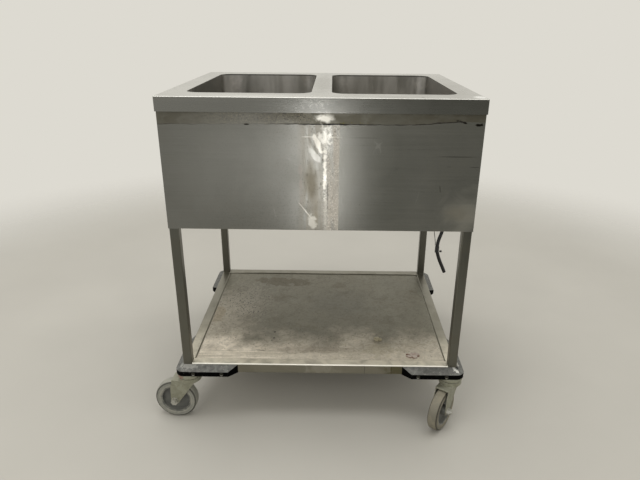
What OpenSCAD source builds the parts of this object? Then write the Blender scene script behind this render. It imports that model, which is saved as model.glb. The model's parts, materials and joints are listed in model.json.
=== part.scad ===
// Double bain marie trolley: two heated wells in a stainless deck, a boxed body on four
// square legs, a lower shelf with corner bumpers, and four swivel castors.
// The floor is Z = 0 and the origin is midway between the legs. The plain front faces -Y,
// and the operator's side, with the knobs and the drain valves, faces +Y.

/* [Deck] */
// Width of the deck
deck_w = 800; // [790:5:1000]
// Depth of the deck, front to back
deck_d = 665; // [655:5:760]
// Height of the deck's top above the floor
deck_h = 950; // [900:5:1000]
// Thickness of the deck sheet
deck_t = 1.5; // [1:0.1:2.5]
// Height of the folded apron
apron_h = 36; // [25:1:60]
// Gap between the apron and the body at the front and the rear
apron_gap = 6.5; // [2:0.5:12]

/* [Wells] */
// Width of a well's opening
well_w = 320; // [300:5:330]
// Length of a well's opening, front to back
well_d = 520; // [500:5:530]
// Depth of a well below the deck's top
well_depth = 200; // [150:5:215]
// Corner radius of a well
well_r = 38; // [20:1:60]
// Thickness of the well sheet
well_t = 1; // [0.8:0.1:1.5]
// Deck left between the two openings
divider_w = 52; // [40:1:70]
// Deck left in front of the openings
front_margin = 80; // [60:1:90]
// Width of the welded flange under the deck
well_flange = 12; // [8:1:15]

/* [Body] */
// Height of the body, from the deck's top to its lower edge
body_h = 339; // [320:1:400]
// Thickness of the panels
panel_t = 1.2; // [0.8:0.1:1.5]
// Width of the folded flange along each panel's lower edge
panel_flange = 10; // [8:1:12]

/* [Legs] */
// Side of the square leg tube
leg_size = 25; // [22:1:30]
// Wall of the leg tube
leg_wall = 1.5; // [1:0.1:2]
// Outer corner radius of the leg tube
leg_r = 3; // [2:0.5:4]
// Height of the plug in a leg's foot
plug_h = 28; // [20:1:40]

/* [Shelf] */
// Width of a shelf rail, seen from above
rail_w = 29; // [27:1:40]
// Height of a shelf rail
rail_h = 30; // [28:1:45]
// Wall of a shelf rail
rail_wall = 1.5; // [1:0.1:2]
// Width of the ledge that carries the shelf panel
ledge_w = 15; // [10:1:25]
// Depth of the panel below the rails' top
shelf_drop = 3; // [1:0.5:6]
// Gap between the panel and the rails at its sides and rear
shelf_gap = 3; // [1:0.5:5]
// Gap between the panel and the front rail
shelf_front_gap = 0.5; // [0.3:0.1:3]
// Thickness of the shelf panel
shelf_t = 1.5; // [1:0.1:2]
// Depth of the stiffener under the panel
stiffener_h = 18; // [10:1:20]
// Width of the stiffener under the panel
stiffener_w = 60; // [40:5:100]

/* [Bumpers] */
// Length of a bumper's arm, from its outer corner
bumper_len = 180; // [150:5:200]
// How far a bumper stands out of the frame
bumper_out = 22; // [15:1:30]
// Height of a bumper where it lies on the frame
bumper_in_h = 27; // [24:1:28]
// Height of a bumper's outer face
bumper_out_h = 15; // [13:1:20]
// Length of the slanted end of an arm
bumper_end = 26; // [10:1:35]
// First screw, from the bumper's outer corner
screw_near = 53; // [50:1:60]
// Second screw, from the bumper's outer corner
screw_far = 135; // [100:1:140]
// Diameter of a bumper screw
screw_d = 5; // [4:0.5:6]
// Diameter of its head
screw_head_d = 11; // [9:0.5:12]
// Height of its head
screw_head_h = 3; // [2:0.5:4]

/* [Castors] */
// Height of a castor, from the floor to the foot of the leg
castor_h = 162; // [158:1:170]
// Diameter of a wheel
wheel_d = 125; // [115:1:128]
// Width of a tyre
tyre_w = 30; // [24:1:32]
// Radial thickness of a tyre
tyre_t = 17; // [10:1:20]
// Radius of a tyre's shoulders
tyre_r = 7; // [4:1:9]
// Distance from the swivel axis to the axle
trail = 46; // [40:1:50]
// Height of the swivel head
head_h = 15; // [12:1:17]
// Diameter of the swivel head
head_d = 70; // [64:1:76]
// Inner width of the fork
fork_gap = 37; // [35:0.5:40]
// Thickness of the fork's cheeks
fork_t = 2.5; // [2:0.5:3.5]
// Diameter of the axle
axle_d = 12; // [10:1:14]
// Diameter of the stud that holds a castor in its leg
stud_d = 12; // [10:1:14]
// Direction of the front left castor's trail
angle_front_left = 176; // [-180:1:180]
// Direction of the front right castor's trail
angle_front_right = -126; // [-180:1:180]
// Direction of the rear left castor's trail
angle_rear_left = 72; // [-180:1:180]
// Direction of the rear right castor's trail
angle_rear_right = 104; // [-180:1:180]
// Length of a brake pedal, from its pin
pedal_len = 56; // [45:1:62]
// Width of a brake pedal's tread
pedal_w = 46; // [42:1:50]

/* [Drains] */
// Distance of a drain from the well's rear wall
drain_inset = 60; // [50:1:90]
// Outer diameter of the drain pipe
pipe_d = 22; // [18:1:26]
// Wall of the drain pipe
pipe_wall = 1.5; // [1:0.1:2]
// Diameter of the strainer in a well's floor
strainer_d = 56; // [48:1:64]
// Diameter of a valve body
valve_d = 38; // [34:1:44]
// Height of a valve body
valve_h = 46; // [42:1:60]
// Outer diameter of the hose spigot
spigot_d = 20; // [17:1:22]
// Length of the hose spigot
spigot_l = 22; // [18:1:35]
// Length of a valve lever, from its stem
lever_l = 92; // [70:1:110]

/* [Heating] */
// Diameter of the tubular element
element_d = 8; // [6:0.5:10]
// Distance between the element's runs
run_pitch = 50; // [40:1:55]
// Length of a straight run
run_l = 330; // [200:5:340]

/* [Controls] */
// Height of the controls above the body's lower edge
control_rise = 69; // [55:1:80]
// Width of the control plate
plate_w = 360; // [340:5:420]
// Height of the control plate
plate_h = 74; // [66:1:90]
// Thickness of the control plate
plate_t = 1; // [0.8:0.1:2]
// Distance of a thermostat knob from the middle
knob_dx = 122; // [110:1:135]
// Distance of a pilot lamp from the middle
lamp_dx = 58; // [45:1:70]
// Diameter of a knob
knob_d = 42; // [34:1:50]
// Height of a knob
knob_h = 18; // [16:1:24]
// Diameter of a thermostat's shaft
shaft_d = 6; // [5:0.5:8]
// Width of the switch opening
switch_w = 22; // [18:1:28]
// Height of the switch opening
switch_h = 30; // [26:1:36]
// Diameter of a pilot lamp
lamp_d = 12; // [10:1:16]
// Tilt of the rocker each way
rocker_tilt = 10; // [6:1:12]

/* [Cord] */
// Diameter of the mains cord
cord_d = 11; // [9:0.5:12]
// Distance of the cable gland from the end panel
gland_inset = 25.3; // [24:0.5:34]
// Distance of the cable gland in front of the middle
gland_front = 40; // [0:1:80]
// Length of the gland's tapered sleeve
gland_sleeve = 32; // [20:1:40]
// Length of the tie on the cord
tie_l = 27; // [15:1:35]
// Thickness of the tie
tie_t = 3; // [1.5:0.5:4]
// Diameter of the wire that holds the cord up
hanger_d = 2; // [1:0.5:4]

/* [Hidden] */
$fn = 64;

// Clearance between neighbours that don't touch
gap = 0.3;
// Radial clearance of a running fit
run_fit = 0.05;
// Overrun of a cut
cut = 1;

deck_under = deck_h - deck_t;
body_w = deck_w - 2 * deck_t;
body_d = deck_d - 2 * deck_t - 2 * apron_gap;
body_z = deck_h - body_h;
in_x = body_w / 2 - panel_t;
in_y = body_d / 2 - panel_t;

well_x = divider_w / 2 + well_w / 2;
well_y = -deck_d / 2 + front_margin + well_d / 2;
well_floor = deck_h - well_depth;
well_under = well_floor - well_t;

frame_x = in_x - gap;
frame_y = in_y - gap;
leg_x = frame_x - leg_size / 2;
leg_y = frame_y - leg_size / 2;
leg_in_x = frame_x - leg_size;
leg_in_y = frame_y - leg_size;
leg_in_r = max(leg_r - leg_wall, 0.5);

floor_z = body_z + panel_t;
floor_top = floor_z + panel_t;

shelf_top = castor_h + rail_h;
rail_in_x = frame_x - rail_w;
rail_in_y = frame_y - rail_w;
ledge_top = shelf_top - shelf_drop - shelf_t;
ledge_t = rail_wall;

bumper_screws_at = [screw_near, screw_far];

wheel_r = wheel_d / 2;
rim_r = wheel_r - tyre_t;
axle_r = axle_d / 2;
hub_l = fork_gap - 2 * gap;
fork_out = fork_gap / 2 + fork_t;
head_bottom = castor_h - head_h;
crown_top = head_bottom - gap;
crown_h = 13;
crown_bottom = crown_top - crown_h;
crown_r = head_d / 2 - 1.5;
bridge_t = 4;
bridge_z = crown_bottom - bridge_t;
bridge_front = -20;
bridge_rear = 52;
cheek_rear = 57;
cheek_r = 13;
// The straight edges of a cheek meet its round end just inside the round
cheek_in = 12.4;
pin_r = 7;
rivet_r = 12;
rivet_h = 3;
rivet_z = crown_top - 9;
pocket_r = 14;
hex_h = 7;
hex_af = 18;
nut_h = 9;
washer_r = 11;
washer_t = 1.5;
pedal_u = bridge_rear + 8;
pedal_pin_z = bridge_z + 2;
pedal_pin_r = 3;
pedal_t = 4;
pedal_sleeve_r = 6;
pedal_rise = 4;
ear_r = 7;
shoe_drop = 8;
shoe_from = 10;
shoe_to = 15;

drain_y = well_y + well_d / 2 - drain_inset;
tail_d = 32;
tail_l = 34;
drain_nut_h = 8;
pipe_top = well_floor - tail_l;
valve_top = body_z - 8;
valve_bottom = valve_top - valve_h;
valve_mid = valve_top - valve_h / 2;
valve_bore_r = 8.5;
ball_r = 12;
stem_r = 5;
stem_l = 29;
lever_t = 3;
lever_w = 14;
spigot_bore_r = 7.5;

element_z = well_under - gap - element_d / 2;
run_count = 6;
run_y0 = -run_l / 2 - 25 + well_y;
run_y1 = run_y0 + run_l;
cold_end = 30;
clamp_t = 1.5;
clamp_w = 20;

control_z = body_z + control_rise;
panel_face = body_d / 2;
plate_face = panel_face + plate_t;
stat_w = 38;
stat_d = 26;
stat_y = in_y - stat_d;
shaft_l = knob_h - 4;
shaft_hole_r = shaft_d / 2 + 1.5;
lamp_body_l = 18;
lamp_nut_d = 18;
lamp_nut_h = 3;
lens_h = 5;
bezel_t = 2.5;
bezel_w = 4;
switch_d = 28;
switch_wall = 1.5;
rocker_r = switch_h / 2 - switch_wall - gap;
rocker_w = switch_w - 2 * switch_wall - 2 * gap;
rocker_axis = 5;
rocker_out = 8.5;
rocker_dip = 2.5;
rocker_back = 6;
switch_pocket = 14;

gland_x = in_x - gland_inset;
gland_y = -gland_front;
gland_r = 10;
gland_hex = 24;
gland_hex_h = 6;
gland_nut_h = 5;
gland_top = floor_top + 12;
gland_end_r = cord_d / 2 + 2;
gland_exit = body_z - gland_hex_h - gland_sleeve + panel_t;

box_w = 66;
box_d = 50;
box_h = 34;
box_wall = 2;
box_x = gland_x - 74;
wire_d = 4;

// Route of the mains cord, from the middle of the gland's mouth to its cut end
cord_route = [
    [0, 0, 0], [0, 0, -16], [2, 0, -31], [6, 0, -46], [8, 0, -60], [7, 0, -74], [3, 0, -88],
    [-1, 0, -103], [-3, 0, -118], [-3, 1, -133], [0, 2, -148], [5, 3, -163], [11, 4, -178],
    [18, 5, -193], [24, 5, -206], [28, 5, -215]
];
cord_points = [for (p = cord_route) [gland_x, gland_y, gland_exit] + p];
// The tie sits at this point of the route
tie_at = cord_points[9];
tie_knob_r = 4;
hanger_start = [gland_x - 36, gland_y, floor_z];
hanger_end = tie_at + [-cord_d / 2 - tie_t / 2, 0, tie_l / 2];
hanger_points = [hanger_start, hanger_start - [0, 0, 8], hanger_end + [0, 0, 8], hanger_end];

// Corners in the order front left, front right, rear left, rear right
corner_x = [-1, 1, -1, 1];
corner_y = [-1, -1, 1, 1];
corner_angle = [angle_front_left, angle_front_right, angle_rear_left, angle_rear_right];

steel = [0.66, 0.66, 0.63];
dull_steel = [0.55, 0.55, 0.51];
zinc = [0.6, 0.61, 0.56];
black = [0.08, 0.08, 0.08];
grey_rubber = [0.5, 0.5, 0.46];

function unit(v) = v / norm(v);
function tangent(p, i) =
    i == 0 ? unit(p[1] - p[0]) :
    i == len(p) - 1 ? unit(p[i] - p[i - 1]) : unit(p[i + 1] - p[i - 1]);
function ring(p, i, r, n, side) =
    let (t = tangent(p, i), u = unit(cross(t, side)), v = cross(t, u))
    [for (k = [0 : n - 1]) p[i] + r * (cos(360 * k / n) * u + sin(360 * k / n) * v)];

// A round tube swept along points, with n sides; side is never along the route
module swept(p, d, n, side) {
    rings = [for (i = [0 : len(p) - 1]) each ring(p, i, d / 2, n, side)];
    walls = [for (i = [0 : len(p) - 2], k = [0 : n - 1])
        let (a = i * n + k, b = a + n, c = (i + 1) * n + (k + 1) % n, e = i * n + (k + 1) % n)
        each [[a, b, c], [a, c, e]]];
    first = [for (k = [0 : n - 1]) k];
    last = [for (k = [n - 1 : -1 : 0]) (len(p) - 1) * n + k];
    polyhedron(points = rings, faces = concat(walls, [first], [last]));
}

// A rectangle with round corners, centred
module round_rect(w, d, r) {
    square([w - 2 * r, d], center = true);
    square([w, d - 2 * r], center = true);
    for (sx = [-1, 1], sy = [-1, 1])
        translate([sx * (w / 2 - r), sy * (d / 2 - r)])
            circle(r);
}

// A box between two corners
module span(a, b) {
    translate(a)
        cube(b - a);
}

// A hexagon prism across its flats, with two flats facing Y
module hex_prism(af, h) {
    cylinder(h = h, r = af / sqrt(3), $fn = 6);
}

module top_deck() {
    color(steel)
        difference() {
            span([-deck_w / 2, -deck_d / 2, deck_h - apron_h], [deck_w / 2, deck_d / 2, deck_h]);
            span([-deck_w / 2 + deck_t, -deck_d / 2 + deck_t, deck_h - apron_h + deck_t],
                [deck_w / 2 - deck_t, deck_d / 2 - deck_t, deck_under]);
            span([-body_w / 2, -body_d / 2, deck_h - apron_h - cut],
                [body_w / 2, body_d / 2, deck_h - apron_h + deck_t + cut]);
            for (sx = [-1, 1])
                translate([sx * well_x, well_y, deck_under - cut])
                    linear_extrude(deck_t + 2 * cut)
                        round_rect(well_w, well_d, well_r);
        }
}

module well(sx) {
    color(dull_steel)
        translate([sx * well_x, well_y, 0])
            difference() {
                union() {
                    translate([0, 0, well_under])
                        linear_extrude(deck_under - well_under)
                            round_rect(well_w + 2 * well_t, well_d + 2 * well_t, well_r + well_t);
                    translate([0, 0, deck_under - well_t])
                        linear_extrude(well_t)
                            round_rect(well_w + 2 * well_flange, well_d + 2 * well_flange,
                                well_r + well_flange);
                }
                translate([0, 0, well_floor])
                    linear_extrude(well_depth)
                        round_rect(well_w, well_d, well_r);
                translate([0, drain_y - well_y, well_under - cut])
                    cylinder(h = well_t + 2 * cut, d = tail_d + 2 * gap);
            }
}

module drain_fittings() {
    color(steel)
        for (sx = [-1, 1])
            translate([sx * well_x, drain_y, 0])
                difference() {
                    union() {
                        translate([0, 0, well_floor])
                            cylinder(h = 2, d = strainer_d);
                        translate([0, 0, pipe_top])
                            cylinder(h = tail_l + cut, d = tail_d);
                        translate([0, 0, well_under - drain_nut_h])
                            hex_prism(tail_d + 9, drain_nut_h);
                    }
                    translate([0, 0, pipe_top - cut])
                        cylinder(h = tail_l - 1, d = pipe_d - 2 * pipe_wall);
                    for (a = [0 : 60 : 300])
                        rotate([0, 0, a])
                            translate([6, 0, well_floor - 2 - cut])
                                cylinder(h = 4 + 2 * cut, r = 2);
                }
}

// A panel's outer sheet and its lower flange, for the front and the rear
module long_panel(sy) {
    y_out = sy * body_d / 2;
    y_in = sy * in_y;
    y_flange = sy * (in_y - panel_flange);
    span([-body_w / 2, min(y_out, y_in), body_z], [body_w / 2, max(y_out, y_in), deck_under]);
    span([-leg_in_x + gap, min(y_out, y_flange), body_z],
        [leg_in_x - gap, max(y_out, y_flange), floor_z]);
}

module front_panel() {
    color(steel)
        long_panel(-1);
}

// The openings that the controls need, through anything at the rear panel
module control_cuts(y0, y1) {
    for (sx = [-1, 1]) {
        translate([sx * knob_dx, y0, control_z])
            rotate([-90, 0, 0])
                cylinder(h = y1 - y0, r = shaft_hole_r);
        translate([sx * lamp_dx, y0, control_z])
            rotate([-90, 0, 0])
                cylinder(h = y1 - y0, d = lamp_d + 2 * run_fit);
    }
    span([-switch_w / 2 - run_fit, y0, control_z - switch_h / 2 - run_fit],
        [switch_w / 2 + run_fit, y1, control_z + switch_h / 2 + run_fit]);
}

module rear_panel() {
    color(steel)
        difference() {
            long_panel(1);
            control_cuts(in_y - cut, panel_face + cut);
        }
}

module end_panel(sx) {
    x_out = sx * body_w / 2;
    x_in = sx * in_x;
    x_flange = sx * (in_x - panel_flange);
    color(steel) {
        span([min(x_out, x_in), -in_y, body_z], [max(x_out, x_in), in_y, deck_under]);
        span([min(x_in, x_flange), -leg_in_y + gap, body_z],
            [max(x_in, x_flange), leg_in_y - gap, floor_z]);
    }
}

module bottom_plate() {
    slot_l = 60;
    slot_r = 2.5;
    color(dull_steel)
        translate([0, 0, floor_z])
            linear_extrude(panel_t)
                difference() {
                    square([2 * (in_x - gap), 2 * (in_y - gap)], center = true);
                    for (sx = [-1, 1], sy = [-1, 1])
                        translate([sx * leg_x, sy * leg_y])
                            square(leg_size + 2 * gap, center = true);
                    for (sx = [-1, 1]) {
                        translate([sx * well_x, drain_y])
                            circle(d = pipe_d + 2 * gap);
                        for (k = [-3 : 3])
                            translate([sx * well_x, -150 + 16 * k]) {
                                square([slot_l, 2 * slot_r], center = true);
                                for (e = [-1, 1])
                                    translate([e * slot_l / 2, 0])
                                        circle(slot_r);
                            }
                    }
                    translate([gland_x, gland_y])
                        circle(gland_r + run_fit);
                }
}

module leg(sx, sy) {
    color(dull_steel)
        translate([sx * leg_x, sy * leg_y, castor_h])
            linear_extrude(deck_under - castor_h)
                difference() {
                    round_rect(leg_size, leg_size, leg_r);
                    round_rect(leg_size - 2 * leg_wall, leg_size - 2 * leg_wall, leg_in_r);
                }
}

module leg_plugs() {
    side = leg_size - 2 * leg_wall - 2 * run_fit;
    color(zinc)
        for (i = [0 : 3])
            translate([corner_x[i] * leg_x, corner_y[i] * leg_y, castor_h])
                linear_extrude(plug_h)
                    difference() {
                        round_rect(side, side, leg_in_r);
                        circle(d = stud_d + 2 * run_fit);
                    }
}

// The clearance holes of one bumper's screws, in the corner's own frame, with both arms
module screw_holes(d, y0, y1) {
    for (s = bumper_screws_at, m = [0, 1])
        mirror([m, -m, 0])
            translate([s - bumper_out, y0, bumper_out_h / 2])
                rotate([-90, 0, 0])
                    cylinder(h = y1 - y0, d = d);
}

// Places its children at each corner of the frame, arms along the frame's faces
module at_corners() {
    for (i = [0 : 3])
        mirror([corner_x[i] > 0 ? 1 : 0, 0, 0])
            mirror([0, corner_y[i] > 0 ? 1 : 0, 0])
                translate([-frame_x, -frame_y, castor_h])
                    children();
}

module shelf_long_rails() {
    color(steel)
        difference() {
            for (sy = [-1, 1])
                scale([1, sy, 1]) {
                    difference() {
                        span([-leg_in_x, -frame_y, castor_h], [leg_in_x, -rail_in_y, shelf_top]);
                        span([-leg_in_x - cut, -frame_y + rail_wall, castor_h + rail_wall],
                            [leg_in_x + cut, -rail_in_y - rail_wall, shelf_top - rail_wall]);
                    }
                    span([-rail_in_x + ledge_w + gap, -rail_in_y, ledge_top - ledge_t],
                        [rail_in_x - ledge_w - gap, -rail_in_y + ledge_w, ledge_top]);
                }
            at_corners()
                screw_holes(screw_d + 2 * gap, -cut, rail_wall + cut);
        }
}

module shelf_side_rails() {
    color(steel)
        difference() {
            for (sx = [-1, 1])
                scale([sx, 1, 1]) {
                    difference() {
                        union() {
                            span([-frame_x, -rail_in_y, castor_h], [-rail_in_x, rail_in_y, shelf_top]);
                            span([-frame_x, -leg_in_y, castor_h], [-leg_in_x, leg_in_y, shelf_top]);
                        }
                        span([-frame_x + rail_wall, -rail_in_y - cut, castor_h + rail_wall],
                            [-leg_in_x - rail_wall, rail_in_y + cut, shelf_top - rail_wall]);
                        span([-frame_x + rail_wall, -leg_in_y - cut, castor_h + rail_wall],
                            [-leg_in_x - rail_wall, leg_in_y + cut, shelf_top - rail_wall]);
                        span([-leg_in_x - rail_wall - cut, -rail_in_y + rail_wall, castor_h + rail_wall],
                            [-rail_in_x - rail_wall, rail_in_y - rail_wall, shelf_top - rail_wall]);
                    }
                    span([-rail_in_x, -rail_in_y, ledge_top - ledge_t],
                        [-rail_in_x + ledge_w, rail_in_y, ledge_top]);
                }
            at_corners()
                screw_holes(screw_d + 2 * gap, -cut, rail_wall + cut);
        }
}

module shelf_panel() {
    px = rail_in_x - shelf_gap;
    sx = rail_in_x - ledge_w - gap;
    color(steel) {
        span([-px, -rail_in_y + shelf_front_gap, ledge_top],
            [px, rail_in_y - shelf_gap, ledge_top + shelf_t]);
        difference() {
            span([-sx, -stiffener_w / 2, ledge_top - stiffener_h], [sx, stiffener_w / 2, ledge_top]);
            span([-sx - cut, -stiffener_w / 2 + shelf_t, ledge_top - stiffener_h + shelf_t],
                [sx + cut, stiffener_w / 2 - shelf_t, ledge_top]);
        }
    }
}

// One arm of a bumper along +X, on the face of the frame that looks to -Y
module bumper_arm() {
    tip = bumper_len - bumper_out;
    difference() {
        translate([leg_r, 0, 0])
            rotate([90, 0, 90])
                linear_extrude(tip - leg_r)
                    polygon([[0, 0], [-bumper_out, 0], [-bumper_out, bumper_out_h], [0, bumper_in_h]]);
        translate([0, 0, -cut])
            linear_extrude(bumper_in_h + 2 * cut)
                polygon([[tip, 0], [tip - bumper_end * (bumper_out + cut) / bumper_out, -bumper_out - cut],
                    [tip + cut, -bumper_out - cut], [tip + cut, 0]]);
    }
}

module corner_bumpers() {
    color(black)
        at_corners()
            difference() {
                union() {
                    for (m = [0, 1])
                        mirror([m, -m, 0])
                            bumper_arm();
                    translate([leg_r, leg_r, 0])
                        rotate([0, 0, 180])
                            rotate_extrude(angle = 90)
                                translate([leg_r, 0])
                                    polygon([[0, 0], [bumper_out, 0], [bumper_out, bumper_out_h],
                                        [0, bumper_in_h]]);
                }
                screw_holes(screw_d + 2 * gap, -bumper_out - cut, cut);
                screw_holes(screw_head_d + 2 * gap, -bumper_out - cut, -bumper_out + screw_head_h);
            }
}

module bumper_screws() {
    color(zinc)
        at_corners() {
            screw_holes(screw_d, -bumper_out + screw_head_h - gap, rail_wall + 4);
            screw_holes(screw_head_d, -bumper_out, -bumper_out + screw_head_h);
        }
}

// One element: straight runs front to back, joined by half turns, with two cold ends
module element() {
    r = element_d / 2;
    x0 = -(run_count - 1) * run_pitch / 2;
    for (k = [0 : run_count - 1])
        translate([x0 + k * run_pitch, run_y0, 0])
            rotate([-90, 0, 0])
                cylinder(h = run_l + (k == 0 || k == run_count - 1 ? cold_end : 0), r = r);
    for (k = [0 : run_count - 2])
        translate([x0 + (k + 0.5) * run_pitch, k % 2 == 0 ? run_y0 : run_y1, 0])
            rotate([0, 0, k % 2 == 0 ? 180 : 0])
                rotate_extrude(angle = 180)
                    translate([run_pitch / 2, 0])
                        circle(r);
}

module heating_elements() {
    color([0.36, 0.33, 0.3])
        for (sx = [-1, 1])
            translate([sx * well_x, 0, element_z])
                element();
}

module element_clamps() {
    half = (run_count - 1) * run_pitch / 2 + element_d / 2 + 6;
    z0 = well_under - gap - element_d - gap - clamp_t;
    color(zinc)
        for (sx = [-1, 1], y = [run_y0 + run_l / 4, run_y0 + 3 * run_l / 4])
            translate([sx * well_x, y - clamp_w / 2, 0]) {
                span([-half, 0, z0], [half, clamp_w, z0 + clamp_t]);
                for (e = [-1, 1])
                    span([e > 0 ? half - clamp_t : -half, 0, z0],
                        [e > 0 ? half : -half + clamp_t, clamp_w, well_under]);
            }
}

module thermostats() {
    color([0.85, 0.83, 0.76])
        for (sx = [-1, 1])
            translate([sx * knob_dx, 0, control_z]) {
                span([-stat_w / 2, stat_y, -stat_w / 2], [stat_w / 2, in_y, stat_w / 2]);
                translate([0, in_y - cut, 0])
                    rotate([-90, 0, 0])
                        cylinder(h = plate_face - in_y + shaft_l + cut, d = shaft_d);
            }
}

module control_plate() {
    color(steel)
        difference() {
            span([-plate_w / 2, panel_face, control_z - plate_h / 2],
                [plate_w / 2, plate_face, control_z + plate_h / 2]);
            control_cuts(panel_face - cut, plate_face + cut);
        }
}

module switch_body() {
    w = switch_w / 2;
    h = switch_h / 2;
    color(black)
        translate([0, 0, control_z])
            difference() {
                union() {
                    span([-w, plate_face - switch_d, -h], [w, plate_face + cut, h]);
                    span([-w - bezel_w, plate_face, -h - bezel_w], [w + bezel_w, plate_face + bezel_t, h + bezel_w]);
                }
                span([-w + switch_wall, plate_face - switch_pocket, -h + switch_wall],
                    [w - switch_wall, plate_face + bezel_t + cut, h - switch_wall]);
            }
}

// The rocker is stored at its off tilt, and turns about an axis along X behind the bezel
module rocker() {
    color([0.1, 0.35, 0.16])
        translate([-rocker_w / 2, plate_face - rocker_axis, control_z])
            rotate([-rocker_tilt, 0, 0])
                rotate([90, 0, 90])
                    linear_extrude(rocker_w)
                        intersection() {
                            circle(rocker_r);
                            polygon([[-rocker_back, -3], [-rocker_back, 3], [rocker_out - 4, rocker_r],
                                [rocker_out, rocker_r], [rocker_out - rocker_dip, 0],
                                [rocker_out, -rocker_r], [rocker_out - 4, -rocker_r]]);
                        }
}

module pilot_lamps() {
    color([0.9, 0.45, 0.1])
        for (sx = [-1, 1])
            translate([sx * lamp_dx, plate_face, control_z])
                rotate([-90, 0, 0]) {
                    translate([0, 0, -lamp_body_l])
                        cylinder(h = lamp_body_l + cut, d = lamp_d);
                    cylinder(h = 2, d = lamp_d + 5);
                    translate([0, 0, 2])
                        cylinder(h = lens_h - 2, d = lamp_d);
                    translate([0, 0, in_y - plate_face - lamp_nut_h])
                        cylinder(h = lamp_nut_h, d = lamp_nut_d);
                }
}

module knob(sx) {
    body_l = knob_h - 1;
    color(black)
        translate([sx * knob_dx, plate_face + 0.8, control_z])
            rotate([-90, 0, 0])
                difference() {
                    union() {
                        cylinder(h = 6, d = knob_d);
                        cylinder(h = body_l, d = knob_d - 8);
                        span([-3.5, -knob_d / 2 + 1, 0], [3.5, knob_d / 2 - 1, knob_h]);
                    }
                    translate([0, 0, -cut])
                        cylinder(h = shaft_l - 0.8 + gap + cut, d = shaft_d + 2 * run_fit);
                }
}

module terminal_box() {
    color([0.8, 0.8, 0.76])
        difference() {
            span([box_x - box_w / 2, gland_y - box_d / 2, floor_top],
                [box_x + box_w / 2, gland_y + box_d / 2, floor_top + box_h]);
            span([box_x - box_w / 2 + box_wall, gland_y - box_d / 2 + box_wall, floor_top - cut],
                [box_x + box_w / 2 - box_wall, gland_y + box_d / 2 - box_wall, floor_top + box_h - box_wall]);
        }
}

// Inner leads: gland to terminal box, box to switch, switch to thermostats, thermostats to elements
module wiring() {
    zb = floor_top + box_h;
    zw = control_z - switch_h / 2 + 3;
    side = [0.37, -0.61, 0.7];
    run_end = run_y1 + cold_end;
    edge = (run_count - 1) * run_pitch / 2;
    color([0.12, 0.25, 0.5]) {
        swept([[gland_x, gland_y, gland_top], [gland_x, gland_y, gland_top + 6],
            [gland_x - 4, gland_y, gland_top + 13], [gland_x - 11, gland_y, gland_top + 16],
            [gland_x - 20, gland_y, gland_top + 13], [gland_x - 28, gland_y, floor_top + 20],
            [box_x + box_w / 2 + 5, gland_y, floor_top + 18], [box_x + box_w / 2, gland_y, floor_top + 18]],
            wire_d, 8, side);
        swept([[box_x, gland_y, zb], [box_x, gland_y, zb + 8], [box_x - 4, gland_y + 4, zb + 16],
            [box_x - 20, gland_y + 20, zb + 20], [box_x - 120, gland_y + 130, zb + 20],
            [30, plate_face - switch_d - 40, zw + 12], [8, plate_face - switch_d - 14, zw + 2],
            [0, plate_face - switch_d - 6, zw], [0, plate_face - switch_d, zw]],
            wire_d, 8, side);
        for (sx = [-1, 1]) {
            swept([[sx * 6, plate_face - switch_d, control_z + 6], [sx * 6, plate_face - switch_d - 6, control_z + 6],
                [sx * 9, plate_face - switch_d - 12, control_z + 4],
                [sx * 30, plate_face - switch_d - 20, control_z],
                [sx * (knob_dx - stat_w / 2 - 20), stat_y + 4, control_z],
                [sx * (knob_dx - stat_w / 2 - 8), stat_y + 9, control_z],
                [sx * (knob_dx - stat_w / 2), stat_y + 9, control_z]],
                wire_d, 8, side);
            swept([[sx * knob_dx, stat_y, control_z], [sx * knob_dx, stat_y - 6, control_z],
                [sx * (knob_dx + 3), stat_y - 16, control_z + 4],
                [sx * (well_x - edge + 2), run_end + 50, element_z - 18],
                [sx * (well_x - edge), run_end + 30, element_z - 4],
                [sx * (well_x - edge), run_end + 12, element_z],
                [sx * (well_x - edge), run_end, element_z]],
                wire_d, 8, side);
        }
    }
}

module drain_pipes() {
    color([0.72, 0.45, 0.3])
        for (sx = [-1, 1])
            translate([sx * well_x, drain_y, valve_top])
                difference() {
                    cylinder(h = pipe_top - valve_top, d = pipe_d);
                    translate([0, 0, -cut])
                        cylinder(h = pipe_top - valve_top + 2 * cut, d = pipe_d - 2 * pipe_wall);
                }
}

module valve_bodies() {
    color([0.75, 0.68, 0.45])
        for (sx = [-1, 1])
            translate([sx * well_x, drain_y, valve_mid])
                difference() {
                    union() {
                        translate([0, 0, -valve_h / 2])
                            cylinder(h = valve_h, d = valve_d);
                        rotate([-90, 0, 0])
                            cylinder(h = valve_d / 2 + 4, d = 18);
                        translate([0, 0, -valve_h / 2 - spigot_l])
                            cylinder(h = spigot_l + cut, d = spigot_d);
                    }
                    sphere(ball_r + gap);
                    translate([0, 0, ball_r - 6])
                        cylinder(h = valve_h, r = valve_bore_r);
                    translate([0, 0, -valve_h / 2 - spigot_l - cut])
                        cylinder(h = valve_h / 2 + spigot_l - 6 + cut, r = spigot_bore_r);
                    rotate([-90, 0, 0])
                        cylinder(h = valve_d, r = stem_r + run_fit);
                }
}

// The ball and its stem, closed: its bore lies along X, and the stem points to +Y
module valve_ball(sx) {
    color([0.8, 0.8, 0.8])
        translate([sx * well_x, drain_y, valve_mid])
            difference() {
                rotate([-90, 0, 0])
                    rotate_extrude() {
                        intersection() {
                            circle(ball_r);
                            translate([0, -ball_r])
                                square([ball_r, 2 * ball_r]);
                        }
                        square([stem_r, stem_l]);
                    }
                rotate([0, 90, 0])
                    cylinder(h = 3 * ball_r, r = valve_bore_r - 1, center = true);
            }
}

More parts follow.
